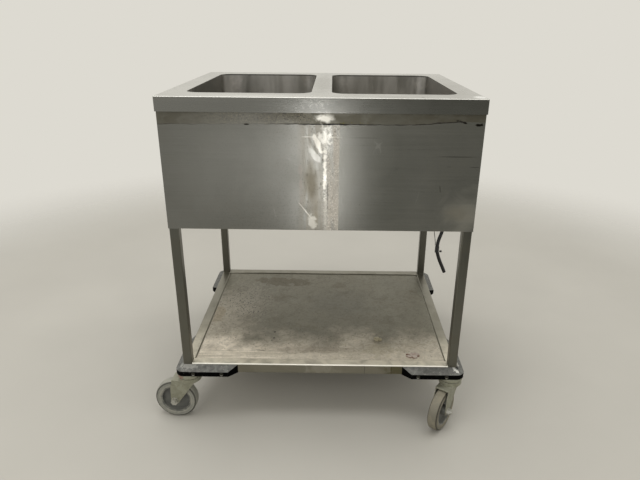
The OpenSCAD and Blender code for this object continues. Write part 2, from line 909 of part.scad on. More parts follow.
// The lever lies across the pipe when the valve is closed, and points at the trolley's middle
module valve_lever(sx) {
    y0 = valve_d / 2 + 4 + gap;
    color([0.7, 0.12, 0.1])
        translate([sx * well_x, drain_y, valve_mid])
            difference() {
                scale([-sx, 1, 1]) {
                    rotate([-90, 0, 0])
                        translate([0, 0, y0])
                            cylinder(h = lever_t, r = 10);
                    span([0, y0, -lever_w / 2], [lever_l, y0 + lever_t, lever_w / 2]);
                }
                rotate([-90, 0, 0])
                    cylinder(h = 3 * valve_d, r = stem_r + run_fit);
            }
}

module cable_gland() {
    color(black)
        translate([gland_x, gland_y, 0]) {
            translate([0, 0, body_z - gland_hex_h + panel_t])
                cylinder(h = gland_top - body_z + gland_hex_h - panel_t, r = gland_r);
            translate([0, 0, body_z - gland_hex_h + panel_t])
                rotate([0, 0, 30])
                    hex_prism(gland_hex, gland_hex_h);
            translate([0, 0, floor_top])
                rotate([0, 0, 30])
                    hex_prism(gland_hex, gland_nut_h);
            translate([0, 0, gland_exit])
                cylinder(h = gland_sleeve, r1 = gland_end_r, r2 = gland_r);
        }
}

module mains_cord() {
    color(black)
        swept(cord_points, cord_d, 10, [0, 1, 0]);
}

module cable_tie() {
    color(black)
        translate(tie_at) {
            difference() {
                translate([0, 0, -tie_l / 2])
                    cylinder(h = tie_l, r = cord_d / 2 + tie_t);
                translate([0, 0, -tie_l / 2 - cut])
                    cylinder(h = tie_l + 2 * cut, d = cord_d);
            }
            translate([cord_d / 2 + tie_t + tie_knob_r - 0.5, 0, -tie_l / 4])
                sphere(tie_knob_r);
        }
}

module hanger_wire() {
    color(black)
        swept(hanger_points, hanger_d, 8, [0, 1, 0]);
}

// Castor pieces stand in their own frame: the swivel axis is Z, and the wheel trails along +X
module at_castor(i) {
    translate([corner_x[i] * leg_x, corner_y[i] * leg_y, 0])
        rotate([0, 0, corner_angle[i]])
            children();
}

module swivel_heads() {
    r = head_d / 2;
    color(dull_steel)
        for (i = [0 : 3])
            at_castor(i)
                rotate_extrude()
                    polygon([[0, rivet_z - rivet_h], [rivet_r, rivet_z - rivet_h], [rivet_r, rivet_z],
                        [pin_r, rivet_z], [pin_r, head_bottom], [r - 3, head_bottom], [r, head_bottom + 3],
                        [r, castor_h - 5], [r - 3, castor_h], [stud_d / 2 + run_fit, castor_h],
                        [stud_d / 2 + run_fit, head_bottom + 2], [0, head_bottom + 2]]);
}

module castor_studs() {
    color(zinc)
        for (i = [0 : 3])
            at_castor(i)
                translate([0, 0, head_bottom + 2])
                    cylinder(h = castor_h - head_bottom - 2 + plug_h - 3, d = stud_d);
}

// Outline of a fork's cheek, in the plane of the wheel: the trail runs along the first axis
module cheek(ear) {
    p = [bridge_front, crown_bottom];
    c = [trail, wheel_r];
    d = norm(p - c);
    a = atan2(p[1] - c[1], p[0] - c[0]) + acos(cheek_r / d);
    foot = c + cheek_in * [cos(a), sin(a)];
    ear_top = [[pedal_u + ear_r, pedal_pin_z + ear_r - 2], [pedal_u + ear_r, pedal_pin_z - ear_r]];
    plain_top = [[bridge_rear, bridge_z - ear_r]];
    difference() {
        union() {
            polygon(concat([p, [bridge_rear, crown_bottom]], ear ? ear_top : plain_top,
                [[cheek_rear, bridge_z - 16], [c[0] + cheek_in, c[1]], c, foot]));
            translate(c)
                circle(cheek_r);
        }
        translate(c)
            circle(axle_r + run_fit);
        if (ear)
            translate([pedal_u, pedal_pin_z])
                circle(pedal_pin_r + run_fit);
    }
}

module fork(i) {
    ear = corner_y[i] > 0;
    color(zinc)
        at_castor(i)
            union() {
                difference() {
                    union() {
                        translate([0, 0, crown_bottom])
                            cylinder(h = crown_h, r = crown_r);
                        span([bridge_front, -fork_out, bridge_z], [bridge_rear, fork_out, crown_bottom]);
                    }
                    translate([0, 0, bridge_z - cut])
                        cylinder(h = rivet_z + gap - bridge_z + cut, r = pocket_r);
                    translate([0, 0, rivet_z])
                        cylinder(h = crown_h, r = pin_r + run_fit);
                }
                for (v = [-fork_out, fork_gap / 2])
                    translate([0, v + fork_t, 0])
                        rotate([90, 0, 0])
                            linear_extrude(fork_t)
                                cheek(ear);
            }
}

module axle(i) {
    ear = corner_y[i] > 0;
    color(zinc)
        at_castor(i) {
            translate([trail, 0, wheel_r])
                rotate([90, 0, 0]) {
                    translate([0, 0, -fork_out - washer_t - nut_h - 3])
                        cylinder(h = 2 * fork_out + 2 * washer_t + nut_h + 3, r = axle_r);
                    for (s = [-1, 1])
                        translate([0, 0, s > 0 ? fork_out : -fork_out - washer_t])
                            cylinder(h = washer_t, r = washer_r);
                    translate([0, 0, fork_out + washer_t])
                        hex_prism(hex_af, hex_h);
                    translate([0, 0, -fork_out - washer_t - nut_h])
                        hex_prism(hex_af, nut_h);
                }
            if (ear)
                translate([pedal_u, fork_out + 2, pedal_pin_z])
                    rotate([90, 0, 0])
                        cylinder(h = 2 * fork_out + 4, r = pedal_pin_r);
        }
}

module wheel(i) {
    hub_r = 15;
    web = 7;
    color([0.42, 0.43, 0.4])
        at_castor(i)
            translate([trail, 0, wheel_r])
                rotate([90, 0, 0])
                    rotate_extrude()
                        polygon([[axle_r + run_fit, -hub_l / 2], [hub_r - 2, -hub_l / 2], [hub_r, -hub_l / 2 + 2],
                            [hub_r, -web / 2], [rim_r - 5, -web / 2], [rim_r - 4, -tyre_w / 2 + 2],
                            [rim_r - 3, -tyre_w / 2 + 1], [rim_r, -tyre_w / 2 + 1], [rim_r, tyre_w / 2 - 1],
                            [rim_r - 3, tyre_w / 2 - 1], [rim_r - 4, tyre_w / 2 - 2], [rim_r - 5, web / 2],
                            [hub_r, web / 2], [hub_r, hub_l / 2 - 2], [hub_r - 2, hub_l / 2],
                            [axle_r + run_fit, hub_l / 2]]);
}

module tyre(i) {
    color(grey_rubber)
        at_castor(i)
            translate([trail, 0, wheel_r])
                rotate([90, 0, 0])
                    rotate_extrude() {
                        translate([rim_r, -tyre_w / 2])
                            square([tyre_t - tyre_r, tyre_w]);
                        translate([rim_r, -tyre_w / 2 + tyre_r])
                            square([tyre_t, tyre_w - 2 * tyre_r]);
                        for (s = [-1, 1])
                            translate([wheel_r - tyre_r, s * (tyre_w / 2 - tyre_r)])
                                circle(tyre_r);
                    }
}

// A brake pedal turns on the pin at the fork's trailing end; its lug meets the tyre when pressed
module pedal(i) {
    sleeve_l = fork_gap - 2 * gap;
    tread_u = pedal_u + ear_r + 3;
    tread_z = pedal_pin_z + 3;
    end_u = pedal_u + pedal_len;
    color(black)
        at_castor(i)
            difference() {
                union() {
                    translate([pedal_u, sleeve_l / 2, pedal_pin_z])
                        rotate([90, 0, 0])
                            cylinder(h = sleeve_l, r = pedal_sleeve_r);
                    translate([0, sleeve_l / 2, 0])
                        rotate([90, 0, 0])
                            linear_extrude(sleeve_l)
                                polygon([[pedal_u, pedal_pin_z + pedal_sleeve_r], [pedal_u, pedal_pin_z],
                                    [pedal_u + shoe_from, pedal_pin_z - shoe_drop],
                                    [pedal_u + shoe_to, pedal_pin_z - shoe_drop],
                                    [tread_u + 7, tread_z], [tread_u + 10, tread_z],
                                    [tread_u + 10, tread_z + pedal_t]]);
                    translate([0, pedal_w / 2, 0])
                        rotate([90, 0, 0])
                            linear_extrude(pedal_w)
                                polygon([[tread_u, tread_z], [end_u, tread_z + pedal_rise],
                                    [end_u, tread_z + pedal_rise + pedal_t], [tread_u, tread_z + pedal_t]]);
                }
                translate([pedal_u, pedal_w, pedal_pin_z])
                    rotate([90, 0, 0])
                        cylinder(h = 2 * pedal_w, r = pedal_pin_r + run_fit);
            }
}

top_deck();
well(-1);  // well_left
well(1);  // well_right
drain_fittings();
front_panel();
rear_panel();
end_panel(-1);  // end_panel_left
end_panel(1);  // end_panel_right
bottom_plate();
leg(-1, -1);  // leg_front_left
leg(1, -1);  // leg_front_right
leg(-1, 1);  // leg_rear_left
leg(1, 1);  // leg_rear_right
leg_plugs();
shelf_long_rails();
shelf_side_rails();
shelf_panel();
corner_bumpers();
bumper_screws();
heating_elements();
element_clamps();
thermostats();
control_plate();
switch_body();
pilot_lamps();
terminal_box();
wiring();
drain_pipes();
valve_bodies();
cable_gland();
mains_cord();
cable_tie();
hanger_wire();
swivel_heads();
castor_studs();
knob(-1);  // knob_left
knob(1);  // knob_right
rocker();
valve_ball(-1);  // valve_ball_left
valve_ball(1);  // valve_ball_right
valve_lever(-1);  // valve_lever_left
valve_lever(1);  // valve_lever_right
fork(0);  // fork_front_left
fork(1);  // fork_front_right
fork(2);  // fork_rear_left
fork(3);  // fork_rear_right
axle(0);  // axle_front_left
axle(1);  // axle_front_right
axle(2);  // axle_rear_left
axle(3);  // axle_rear_right
wheel(0);  // wheel_front_left
wheel(1);  // wheel_front_right
wheel(2);  // wheel_rear_left
wheel(3);  // wheel_rear_right
tyre(0);  // tyre_front_left
tyre(1);  // tyre_front_right
tyre(2);  // tyre_rear_left
tyre(3);  // tyre_rear_right
pedal(2);  // pedal_rear_left
pedal(3);  // pedal_rear_right
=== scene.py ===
"""The looks of the bain marie trolley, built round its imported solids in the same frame, in metres."""

import json
import logging
import math
from collections.abc import Callable, Sequence
from dataclasses import KW_ONLY, dataclass
from enum import Enum

import bmesh
import bpy
from mathutils import Matrix, Vector

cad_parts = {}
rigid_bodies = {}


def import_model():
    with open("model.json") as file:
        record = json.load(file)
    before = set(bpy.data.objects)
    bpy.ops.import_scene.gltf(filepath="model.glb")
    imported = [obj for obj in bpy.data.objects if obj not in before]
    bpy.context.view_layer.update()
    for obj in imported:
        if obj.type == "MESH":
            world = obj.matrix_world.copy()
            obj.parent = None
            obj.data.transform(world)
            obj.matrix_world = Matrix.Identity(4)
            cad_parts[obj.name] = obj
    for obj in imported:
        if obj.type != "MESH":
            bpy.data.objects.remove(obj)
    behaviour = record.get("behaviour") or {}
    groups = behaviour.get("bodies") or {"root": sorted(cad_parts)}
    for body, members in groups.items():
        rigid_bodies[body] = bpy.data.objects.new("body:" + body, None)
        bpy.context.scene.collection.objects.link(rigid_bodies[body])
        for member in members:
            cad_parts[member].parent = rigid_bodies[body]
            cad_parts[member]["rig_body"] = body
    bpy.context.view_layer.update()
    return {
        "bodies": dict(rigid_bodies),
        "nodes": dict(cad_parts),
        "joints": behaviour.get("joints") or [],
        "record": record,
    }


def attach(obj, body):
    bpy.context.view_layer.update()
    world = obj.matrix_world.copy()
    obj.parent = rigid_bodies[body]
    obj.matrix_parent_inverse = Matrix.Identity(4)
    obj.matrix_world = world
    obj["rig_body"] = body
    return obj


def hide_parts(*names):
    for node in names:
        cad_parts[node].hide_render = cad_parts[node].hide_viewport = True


log = logging.getLogger("trolley")

MM = 0.001
# Two tolerances, for telling where an edge or a face is.
NEAR = 1e-5
CLOSE = 1e-4
FRONT_Y = -0.3245
SHELF_Z = 0.189
SIDES = ((-1, "left"), (1, "right"))

# A colour is three display values from 0 to 255.
Colour = tuple[int, int, int]
Point = tuple[float, float, float]
Outline = list[tuple[float, float]]
Test = Callable[[Vector, Vector], bool]
# A piece that is reworked: its CAD node, its new name, and its edge rounding in millimetres.
Row = tuple[str, str, float]
Socket = bpy.types.NodeSocket
NodeTree = bpy.types.NodeTree
Piece = bpy.types.Object


def linear(colour: Colour) -> Point:
    """The linear values of a colour."""
    shares = (value / 255 for value in colour)
    return tuple(s / 12.92 if s <= 0.04045 else ((s + 0.055) / 1.055) ** 2.4 for s in shares)


class Grain(Enum):
    """How a surface was brushed, cast or moulded: cycles per metre along X, Y and Z."""

    ALONG_X = (5.0, 800.0, 800.0)
    ALONG_Y = (800.0, 5.0, 800.0)
    ALONG_Z = (800.0, 800.0, 5.0)
    CAST = (260.0, 260.0, 260.0)
    MOULDED = (900.0, 900.0, 900.0)


class Axis(Enum):
    """The axis along which a turned piece lies, as the turn that brings Z there."""

    X = (90.0, "Y")
    Y = (-90.0, "X")

    def matrix(self) -> Matrix:
        """The turn from Z to this axis."""
        angle, about = self.value
        return Matrix.Rotation(math.radians(angle), 4, about)


def rest() -> None:
    """Leaves edit mode and deselects every object."""
    if bpy.context.object is not None and bpy.context.object.mode != "OBJECT":
        bpy.ops.object.mode_set(mode="OBJECT")
    bpy.ops.object.select_all(action="DESELECT")


def take(piece: Piece) -> None:
    """Makes one object the only selected and active one."""
    rest()
    piece.select_set(True)
    bpy.context.view_layer.objects.active = piece


def open_mesh(piece: Piece) -> None:
    """Enters edit mode on one object, with its whole mesh selected."""
    take(piece)
    bpy.ops.object.mode_set(mode="EDIT")
    bpy.ops.mesh.select_all(action="SELECT")


def close_mesh(outward: bool = False) -> None:
    """Leaves edit mode, if asked with every normal turned outward first."""
    if outward:
        bpy.ops.mesh.select_all(action="SELECT")
        bpy.ops.mesh.normals_make_consistent(inside=False)
    bpy.ops.object.mode_set(mode="OBJECT")


def settle(piece: Piece, name: str) -> Piece:
    """Names a piece, puts its place, turn and size into its mesh, and returns it."""
    take(piece)
    bpy.ops.object.transform_apply(location=True, rotation=True, scale=True)
    piece.name = name
    piece.data.name = name
    return piece


def add_block(name: str, low: Sequence[float], high: Sequence[float]) -> Piece:
    """Adds a cube primitive that fills the box between two corners."""
    rest()
    bpy.ops.mesh.primitive_cube_add(
        size=1.0,
        location=[(a + b) / 2 for a, b in zip(low, high)],
        scale=[b - a for a, b in zip(low, high)],
    )
    return settle(bpy.context.object, name)


def add_cutter(middle: Point, radius: float, length: float, sides: int = 48) -> Piece:
    """Adds an upright cylinder primitive that will be taken out of a piece."""
    rest()
    bpy.ops.mesh.primitive_cylinder_add(vertices=sides, radius=radius, depth=length)
    bpy.context.object.location = middle
    return settle(bpy.context.object, "cutter")


def pick(piece: Piece, test: Test, faces: bool = False) -> None:
    """Selects in edit mode the edges whose ends pass a test, or the faces whose middle and normal do."""
    bpy.context.tool_settings.mesh_select_mode = (False, not faces, faces)
    bpy.ops.mesh.select_all(action="DESELECT")
    mesh = bmesh.from_edit_mesh(piece.data)
    if faces:
        found = [f for f in mesh.faces if test(f.calc_center_median(), f.normal)]
    else:
        found = [e for e in mesh.edges if test(e.verts[0].co, e.verts[1].co)]
    for part in found:
        part.select_set(True)
    bmesh.update_edit_mesh(piece.data)


def round_edges(piece: Piece, test: Test, width: float, segments: int) -> None:
    """Rounds in edit mode the edges whose ends pass a test."""
    pick(piece, test)
    bpy.ops.mesh.bevel(offset=width, segments=segments, affect="EDGES")


def apply_modifier(piece: Piece, kind: str, **settings: object) -> None:
    """Adds one modifier to a piece, sets it and applies it."""
    take(piece)
    modifier = piece.modifiers.new(kind.title(), kind)
    for key, value in settings.items():
        setattr(modifier, key, value)
    bpy.ops.object.modifier_apply(modifier=modifier.name)


def thicken(piece: Piece, sheet: float) -> None:
    """Gives a surface the thickness of its sheet, towards its inside."""
    apply_modifier(piece, "SOLIDIFY", thickness=sheet, offset=-1.0, use_even_offset=True)


def cut(piece: Piece, *cutters: Piece) -> None:
    """Takes the cutters' shapes out of a piece, and removes the cutters."""
    for cutter in cutters:
        apply_modifier(piece, "BOOLEAN", object=cutter, operation="DIFFERENCE", solver="EXACT")
        bpy.data.objects.remove(cutter)


def join(name: str, pieces: Sequence[Piece]) -> Piece:
    """Joins several objects into one and names it."""
    take(pieces[0])
    for piece in pieces[1:]:
        piece.select_set(True)
    bpy.ops.object.join()
    return settle(bpy.context.object, name)


def smooth(piece: Piece, degrees: float = 32.0) -> Piece:
    """Shades a piece smooth across edges flatter than an angle, with flat large faces, and returns it."""
    take(piece)
    bpy.ops.object.shade_smooth_by_angle(angle=math.radians(degrees))
    apply_modifier(piece, "WEIGHTED_NORMAL", mode="FACE_AREA", weight=50, keep_sharp=True)
    return piece


def mark_faces(piece: Piece, attribute: str, values: Sequence[float]) -> None:
    """Gives each face its number in an attribute that the materials read."""
    piece.data.attributes.new(attribute, "FLOAT", "FACE").data.foreach_set("value", values)


def mark_ring(
    piece: Piece, attribute: str, place: Matrix, inner: float, outer: float, above: float = 0.0
) -> None:
    """Marks the faces of a turned piece between two radii, and off its middle plane by a height."""
    back = place.inverted()
    middles = [back @ face.center for face in piece.data.polygons]
    inside = [inner < m.to_2d().length < outer and abs(m.z) >= above for m in middles]
    mark_faces(piece, attribute, [float(value) for value in inside])


def soften(piece: Piece, width: float, segments: int = 2, degrees: float = 32.0) -> Piece:
    """Rounds a piece's sharp edges, marks the rounds as worn edges, and shades it smooth.

    Args:
        piece: The object.
        width: The width of the round on each side of an edge.
        segments: The number of faces across the round.
        degrees: The angle from which an edge is sharp.

    Returns:
        The same object.
    """
    piece.data.materials.clear()
    for _ in range(2):
        piece.data.materials.append(None)
    if width > 0:
        apply_modifier(
            piece,
            "BEVEL",
            width=width,
            segments=segments,
            limit_method="ANGLE",
            angle_limit=math.radians(degrees),
            material=1,
            miter_outer="MITER_ARC",
        )
    mark_faces(piece, "worn_edge", [float(face.material_index) for face in piece.data.polygons])
    for face in piece.data.polygons:
        face.material_index = 0
    return smooth(piece, degrees)


def face_towards(piece: Piece, way: Vector) -> None:
    """Flips a piece's faces, if its largest one looks away from a direction."""
    largest = max(piece.data.polygons, key=lambda face: face.area)
    if largest.normal.dot(way) < 0:
        open_mesh(piece)
        bpy.ops.mesh.flip_normals()
        close_mesh()


def turn_profile(name: str, profile: Outline, steps: int, place: Matrix) -> Piece:
    """Spins an outline about Z, from one vertex that is extruded point by point.

    Args:
        name: The piece's name.
        profile: Radius and height of each point, in millimetres.
        steps: The number of steps round the axis.
        place: Where the turned piece goes.

    Returns:
        The new object.
    """
    rest()
    bpy.ops.mesh.primitive_plane_add(size=MM)
    piece = bpy.context.object
    bpy.context.tool_settings.mesh_select_mode = (True, False, False)
    open_mesh(piece)
    bpy.ops.mesh.merge(type="CENTER")
    points = [Vector((radius * MM, 0.0, height * MM)) for radius, height in profile]
    bpy.ops.transform.translate(value=points[0])
    for before, after in zip(points, points[1:]):
        bpy.ops.mesh.extrude_region_move(TRANSFORM_OT_translate={"value": after - before})
    bpy.ops.mesh.select_all(action="SELECT")
    bpy.ops.mesh.spin(steps=steps, angle=math.tau, center=(0, 0, 0), axis=(0, 0, 1))
    bpy.ops.mesh.select_all(action="SELECT")
    bpy.ops.mesh.remove_doubles(threshold=1e-6)
    close_mesh(outward=True)
    piece.matrix_world = place
    return settle(piece, name)


def mirrored(half: Outline, *between: tuple[float, float]) -> Outline:
    """A closed outline: one half, the points between, and the half again below."""
    return [*half, *between, *((radius, -height) for radius, height in reversed(half)), half[0]]


class Tree:
    """A node tree being wired, of a material, a world or a group."""

    def __init__(self, tree: NodeTree) -> None:
        """Takes the tree as it is."""
        self.tree = tree

    def feed(self, socket: Socket, value: object) -> None:
        """Links a socket to an input, or sets the input's own value."""
        if isinstance(value, Socket):
            self.tree.links.new(value, socket)
        elif socket.type == "RGBA" and len(value) == 3:
            socket.default_value = (*value, 1.0)
        else:
            socket.default_value = value

    def add(self, kind: str, inputs: dict | None = None, **settings: object) -> bpy.types.Node:
        """Adds a node.

        Args:
            kind: The node's type, without the word ShaderNode.
            inputs: A value or a socket for each named or numbered input.
            settings: The node's own settings.

        Returns:
            The new node.
        """
        name = kind if kind.startswith("NodeGroup") else "ShaderNode" + kind
        node = self.tree.nodes.new(name)
        for key, value in settings.items():
            setattr(node, key, value)
        for key, value in (inputs or {}).items():
            self.feed(node.inputs[key], value)
        return node

    def math(self, operation: str, *values: object, clamp: bool = False) -> Socket:
        """One number out of one to three."""
        return self.add("Math", dict(enumerate(values)), operation=operation, use_clamp=clamp).outputs[0]

    def times(self, first: Socket, *others: object) -> Socket:
        """The product of several numbers."""
        for other in others:
            first = self.math("MULTIPLY", first, other)
        return first

    def minus(self, first: object, second: object) -> Socket:
        """The difference of two numbers."""
        return self.math("SUBTRACT", first, second)

    def scaled(self, value: Socket, factor: object, plus: object, clamp: bool = False) -> Socket:
        """A number times a factor, with another number added."""
        return self.math("MULTIPLY_ADD", value, factor, plus, clamp=clamp)

    def vector(self, operation: str, *values: object) -> Socket:
        """One vector out of two."""
        return self.add("VectorMath", dict(enumerate(values)), operation=operation).outputs[0]

    def length(self, value: Socket) -> Socket:
        """The length of a vector."""
        return self.add("VectorMath", {0: value}, operation="LENGTH").outputs["Value"]

    def step(self, value: object, low: object, high: object) -> Socket:
        """A number from 0 below one limit to 1 above another, smooth between them."""
        inputs = {"Value": value, "From Min": low, "From Max": high}
        return self.add("MapRange", inputs, interpolation_type="SMOOTHSTEP").outputs["Result"]

    def fade(self, value: object, low: object, high: object) -> Socket:
        """A number from 1 below one limit to 0 above another."""
        return self.minus(1.0, self.step(value, low, high))

    def between(self, value: Socket, start: float, full: float, ebb: float, end: float) -> Socket:
        """A number that rises from 0 to 1 and falls back to 0 again."""
        return self.times(self.step(value, start, full), self.fade(value, ebb, end))

    def split(self, value: Socket) -> tuple[Socket, Socket, Socket]:
        """The three parts of a vector."""
        node = self.add("SeparateXYZ", {0: value})
        return (node.outputs[0], node.outputs[1], node.outputs[2])

    def upward(self) -> Socket:
        """How far the surface faces up."""
        return self.split(self.add("NewGeometry").outputs["Normal"])[2]

    def mix(self, share: object, first: object, second: object, **settings: object) -> Socket:
        """A colour between two, or blended from two."""
        return self.add("Mix", {0: share, 6: first, 7: second}, data_type="RGBA", **settings).outputs[2]

    def noise(self, vector: Socket, scale: object, detail: float, warp: object = 0.0) -> Socket:
        """Noise at a point, with its middle half spread over 0 to 1."""
        inputs = {"Vector": vector, "Scale": scale, "Detail": detail, "Distortion": warp}
        cloud = self.add("TexNoise", inputs).outputs["Fac"]
        return self.add("MapRange", {"Value": cloud, "From Min": 0.28, "From Max": 0.72}).outputs["Result"]


class Group(Tree):
    """A node group in the making: a place and further inputs go in, one number comes out."""

    def __init__(self, name: str, **inputs: object) -> None:
        """Starts a group, with the default of each input: a number, or a tuple for a vector."""
        super().__init__(bpy.data.node_groups.new(name, "ShaderNodeTree"))
        inputs = {"vector": (0.0, 0.0, 0.0), **inputs}
        for label, default in inputs.items():
            kind = "NodeSocketVector" if isinstance(default, tuple) else "NodeSocketFloat"
            socket = self.tree.interface.new_socket(name=label, in_out="INPUT", socket_type=kind)
            socket.default_value = default
        self.tree.interface.new_socket(name="result", in_out="OUTPUT", socket_type="NodeSocketFloat")
        enter = self.add("NodeGroupInput")
        self.given = [enter.outputs[label] for label in inputs]
        self.leave = self.add("NodeGroupOutput")

    def close(self, value: Socket) -> NodeTree:
        """Wires the group's output and returns the group."""
        self.feed(self.leave.inputs[0], value)
        return self.tree


class Effects:
    """The node groups that several finishes share, each built once."""

    def __init__(self) -> None:
        """Builds every group."""
        self.groups = {
            "grain": self._grain(),
            "blotch": self._blotch(),
            "specks": self._specks(),
            "scratches": self._scratches(),
            "mark": self._mark(),
            "dust": self._dust(),
            "wear": self._wear(),
        }

    @staticmethod
    def _grain() -> NodeTree:
        """Brushed or cast grain, as a height."""
        g = Group("grain", cycles=(1.0, 1.0, 1.0))
        place, cycles = g.given
        return g.close(g.noise(g.vector("MULTIPLY", place, cycles), 1.0, 3.0))

    @staticmethod
    def _blotch() -> NodeTree:
        """Clouds, stains and runs with ragged edges, as a mask."""
        g = Group("blotch", scale=10.0, cover=0.5, edge=0.2, warp=0.5)
        place, scale, cover, edge, warp = g.given
        bare = g.minus(1.0, cover)
        cloud = g.noise(place, scale, 6.0, warp)
        return g.close(g.step(cloud, g.minus(bare, edge), g.math("ADD", bare, edge)))

    @staticmethod
    def _specks() -> NodeTree:
        """Scattered specks of uneven size, as a mask."""
        g = Group("specks", scale=300.0, size=0.3, cover=0.2)
        place, scale, size, cover = g.given
        cells = g.add("TexVoronoi", {"Vector": place, "Scale": scale})
        chance, uneven, _ = g.split(cells.outputs["Color"])
        reach = g.times(size, g.math("ADD", 0.4, uneven))
        spot = g.fade(cells.outputs["Distance"], g.times(reach, 0.5), reach)
        return g.close(g.times(spot, g.math("LESS_THAN", chance, cover)))

    @staticmethod
    def _scratches() -> NodeTree:
        """Fine wandering scratches, as a mask."""
        g = Group("scratches", scale=8.0, width=0.01, cover=0.4)
        place, scale, width, cover = g.given
        off = g.math("ABSOLUTE", g.minus(g.noise(place, scale, 1.0, 0.3), 0.5))
        bare = g.minus(1.0, cover)
        cloud = g.noise(place, g.times(scale, 2.7), 2.0)
        here = g.step(cloud, bare, g.math("ADD", bare, 0.15))
        return g.close(g.times(g.fade(off, 0.0, width), here))

    @staticmethod
    def _mark() -> NodeTree:
        """One round or long mark at a place, as a mask."""
        g = Group(
            "mark", middle=(0.0, 0.0, 0.0), reach=(1.0, 1.0, 1.0), turn=(0.0, 0.0, 0.0),
            ragged=0.3, soft=0.5, scale=60.0,
        )
        place, middle, reach, turn, ragged, soft, scale = g.given
        moved = {"Vector": g.vector("SUBTRACT", place, middle), "Rotation": turn}
        turned = g.add("VectorRotate", moved, rotation_type="EULER_XYZ").outputs[0]
        far = g.length(g.vector("DIVIDE", turned, reach))
        torn = g.times(g.minus(g.noise(place, scale, 4.0, 0.5), 0.5), ragged)
        return g.close(g.fade(g.math("ADD", far, torn), g.minus(1.0, soft), 1.0))

    @staticmethod
    def _dust() -> NodeTree:
        """Dust that lies on what faces up, as a mask."""
        g = Group("dust", scale=60.0, amount=0.5)
        place, scale, amount = g.given
        lying = g.step(g.upward(), 0.2, 0.85)
        cover = g.math("ADD", 0.45, g.times(g.noise(place, scale, 6.0, 0.4), 0.55))
        return g.close(g.times(lying, g.times(cover, amount)))

    @staticmethod
    def _wear() -> NodeTree:
        """Rubbed edges, broken up, as a mask."""
        g = Group("wear", edge=0.0, scale=70.0, amount=0.5)
        place, edge, scale, amount = g.given
        cloud = g.noise(place, scale, 5.0, 0.6)
        return g.close(g.times(edge, g.step(cloud, 0.25, 0.75), amount))


class Surface(Tree):
    """A material in the making: its colour, roughness, metal share and height grow layer by layer."""

    def __init__(
        self, effects: Effects, name: str, tone: Colour, roughness: float, metal: float
    ) -> None:
        """Starts a material.

        Args:
            effects: The shared node groups.
            name: The material's name.
            tone: Its clean colour.
            roughness: Its clean roughness.
            metal: 1 for bare metal, 0 for anything else.
        """
        self.made = bpy.data.materials.new(name)
        self.made.use_nodes = True
        super().__init__(self.made.node_tree)
        self.groups = effects.groups
        self.place = self.add("TexCoord").outputs["Object"]
        self.tone: object = linear(tone)
        self.roughness: object = roughness
        self.metal: object = metal
        self.heights: list[tuple[Socket, float]] = []

    def effect(self, name: str, vector: Socket | None = None, **inputs: object) -> Socket:
        """Places a shared group with its own values and returns its output."""
        node = self.add("Group", node_tree=self.groups[name])
        for key, value in {"vector": vector or self.place, **inputs}.items():
            self.feed(node.inputs[key], value)
        return node.outputs[0]

    def drawn(self, x: float, y: float, z: float) -> Socket:
        """The place, with each axis stretched, for runs and streaks."""
        return self.vector("MULTIPLY", self.place, (x, y, z))

    def lay(
        self, mask: Socket, tint: Colour, amount: float, rougher: float = 0.0, duller: float = 0.0
    ) -> None:
        """Lays one layer over what is there.

        Args:
            mask: Where the layer lies.
            tint: Its colour.
            amount: How much of it covers, from 0 to 1.
            rougher: What it adds to the roughness.
            duller: What it takes off the metal share.
        """
        self.tone = self.mix(self.times(mask, amount), self.tone, linear(tint))
        if rougher:
            self.roughness = self.scaled(mask, rougher, self.roughness, clamp=True)
        if duller:
            self.metal = self.scaled(mask, -duller, self.metal, clamp=True)

    def wear(self, tint: Colour, strength: float, amount: float) -> None:
        """Lays bright or dusty wear on the faces that are marked as worn edges."""
        edge = self.marked("worn_edge")
        self.lay(self.effect("wear", edge=edge, amount=strength), tint, amount)

    def marked(self, attribute: str) -> Socket:
        """The number that faces have in an attribute."""
        return self.add("Attribute", attribute_name=attribute).outputs["Fac"]

    def shade(self, value: Socket, depth: float) -> None:
        """Darkens and lightens the colour with a value from 0 to 1."""
        factor = self.scaled(value, 2 * depth, 1.0 - depth)
        spread = self.add("CombineXYZ", {0: factor, 1: factor, 2: factor}).outputs[0]
        self.tone = self.mix(1.0, self.tone, spread, blend_type="MULTIPLY")

    def vary(self, value: Socket, depth: float) -> None:
        """Varies the roughness with a value from 0 to 1."""
        self.roughness = self.scaled(self.minus(value, 0.5), 2 * depth, self.roughness, clamp=True)

    def raise_by(self, height: Socket, millimetres: float) -> None:
        """Adds relief of a real height."""
        self.heights.append((height, millimetres * MM))

    def finish(self, coat: float, gloss: float) -> bpy.types.Material:
        """Wires the layers to the shader and returns the material.

        Args:
            coat: The weight of its clear coat.
            gloss: The strength of its mirror, 0.5 for most things.
        """
        shader = self.tree.nodes["Principled BSDF"].inputs
        self.feed(shader["Base Color"], self.tone)
        self.feed(shader["Roughness"], self.roughness)
        self.feed(shader["Metallic"], self.metal)
        shader["Coat Weight"].default_value = coat
        shader["Specular IOR Level"].default_value = gloss
        total: object = 0.0
        for height, tall in self.heights:
            total = self.scaled(height, tall, total)
        if self.heights:
            bump = self.add("Bump", {"Height": total, "Distance": 1.0, "Strength": 1.0})
            self.feed(shader["Normal"], bump.outputs[0])
        return self.made


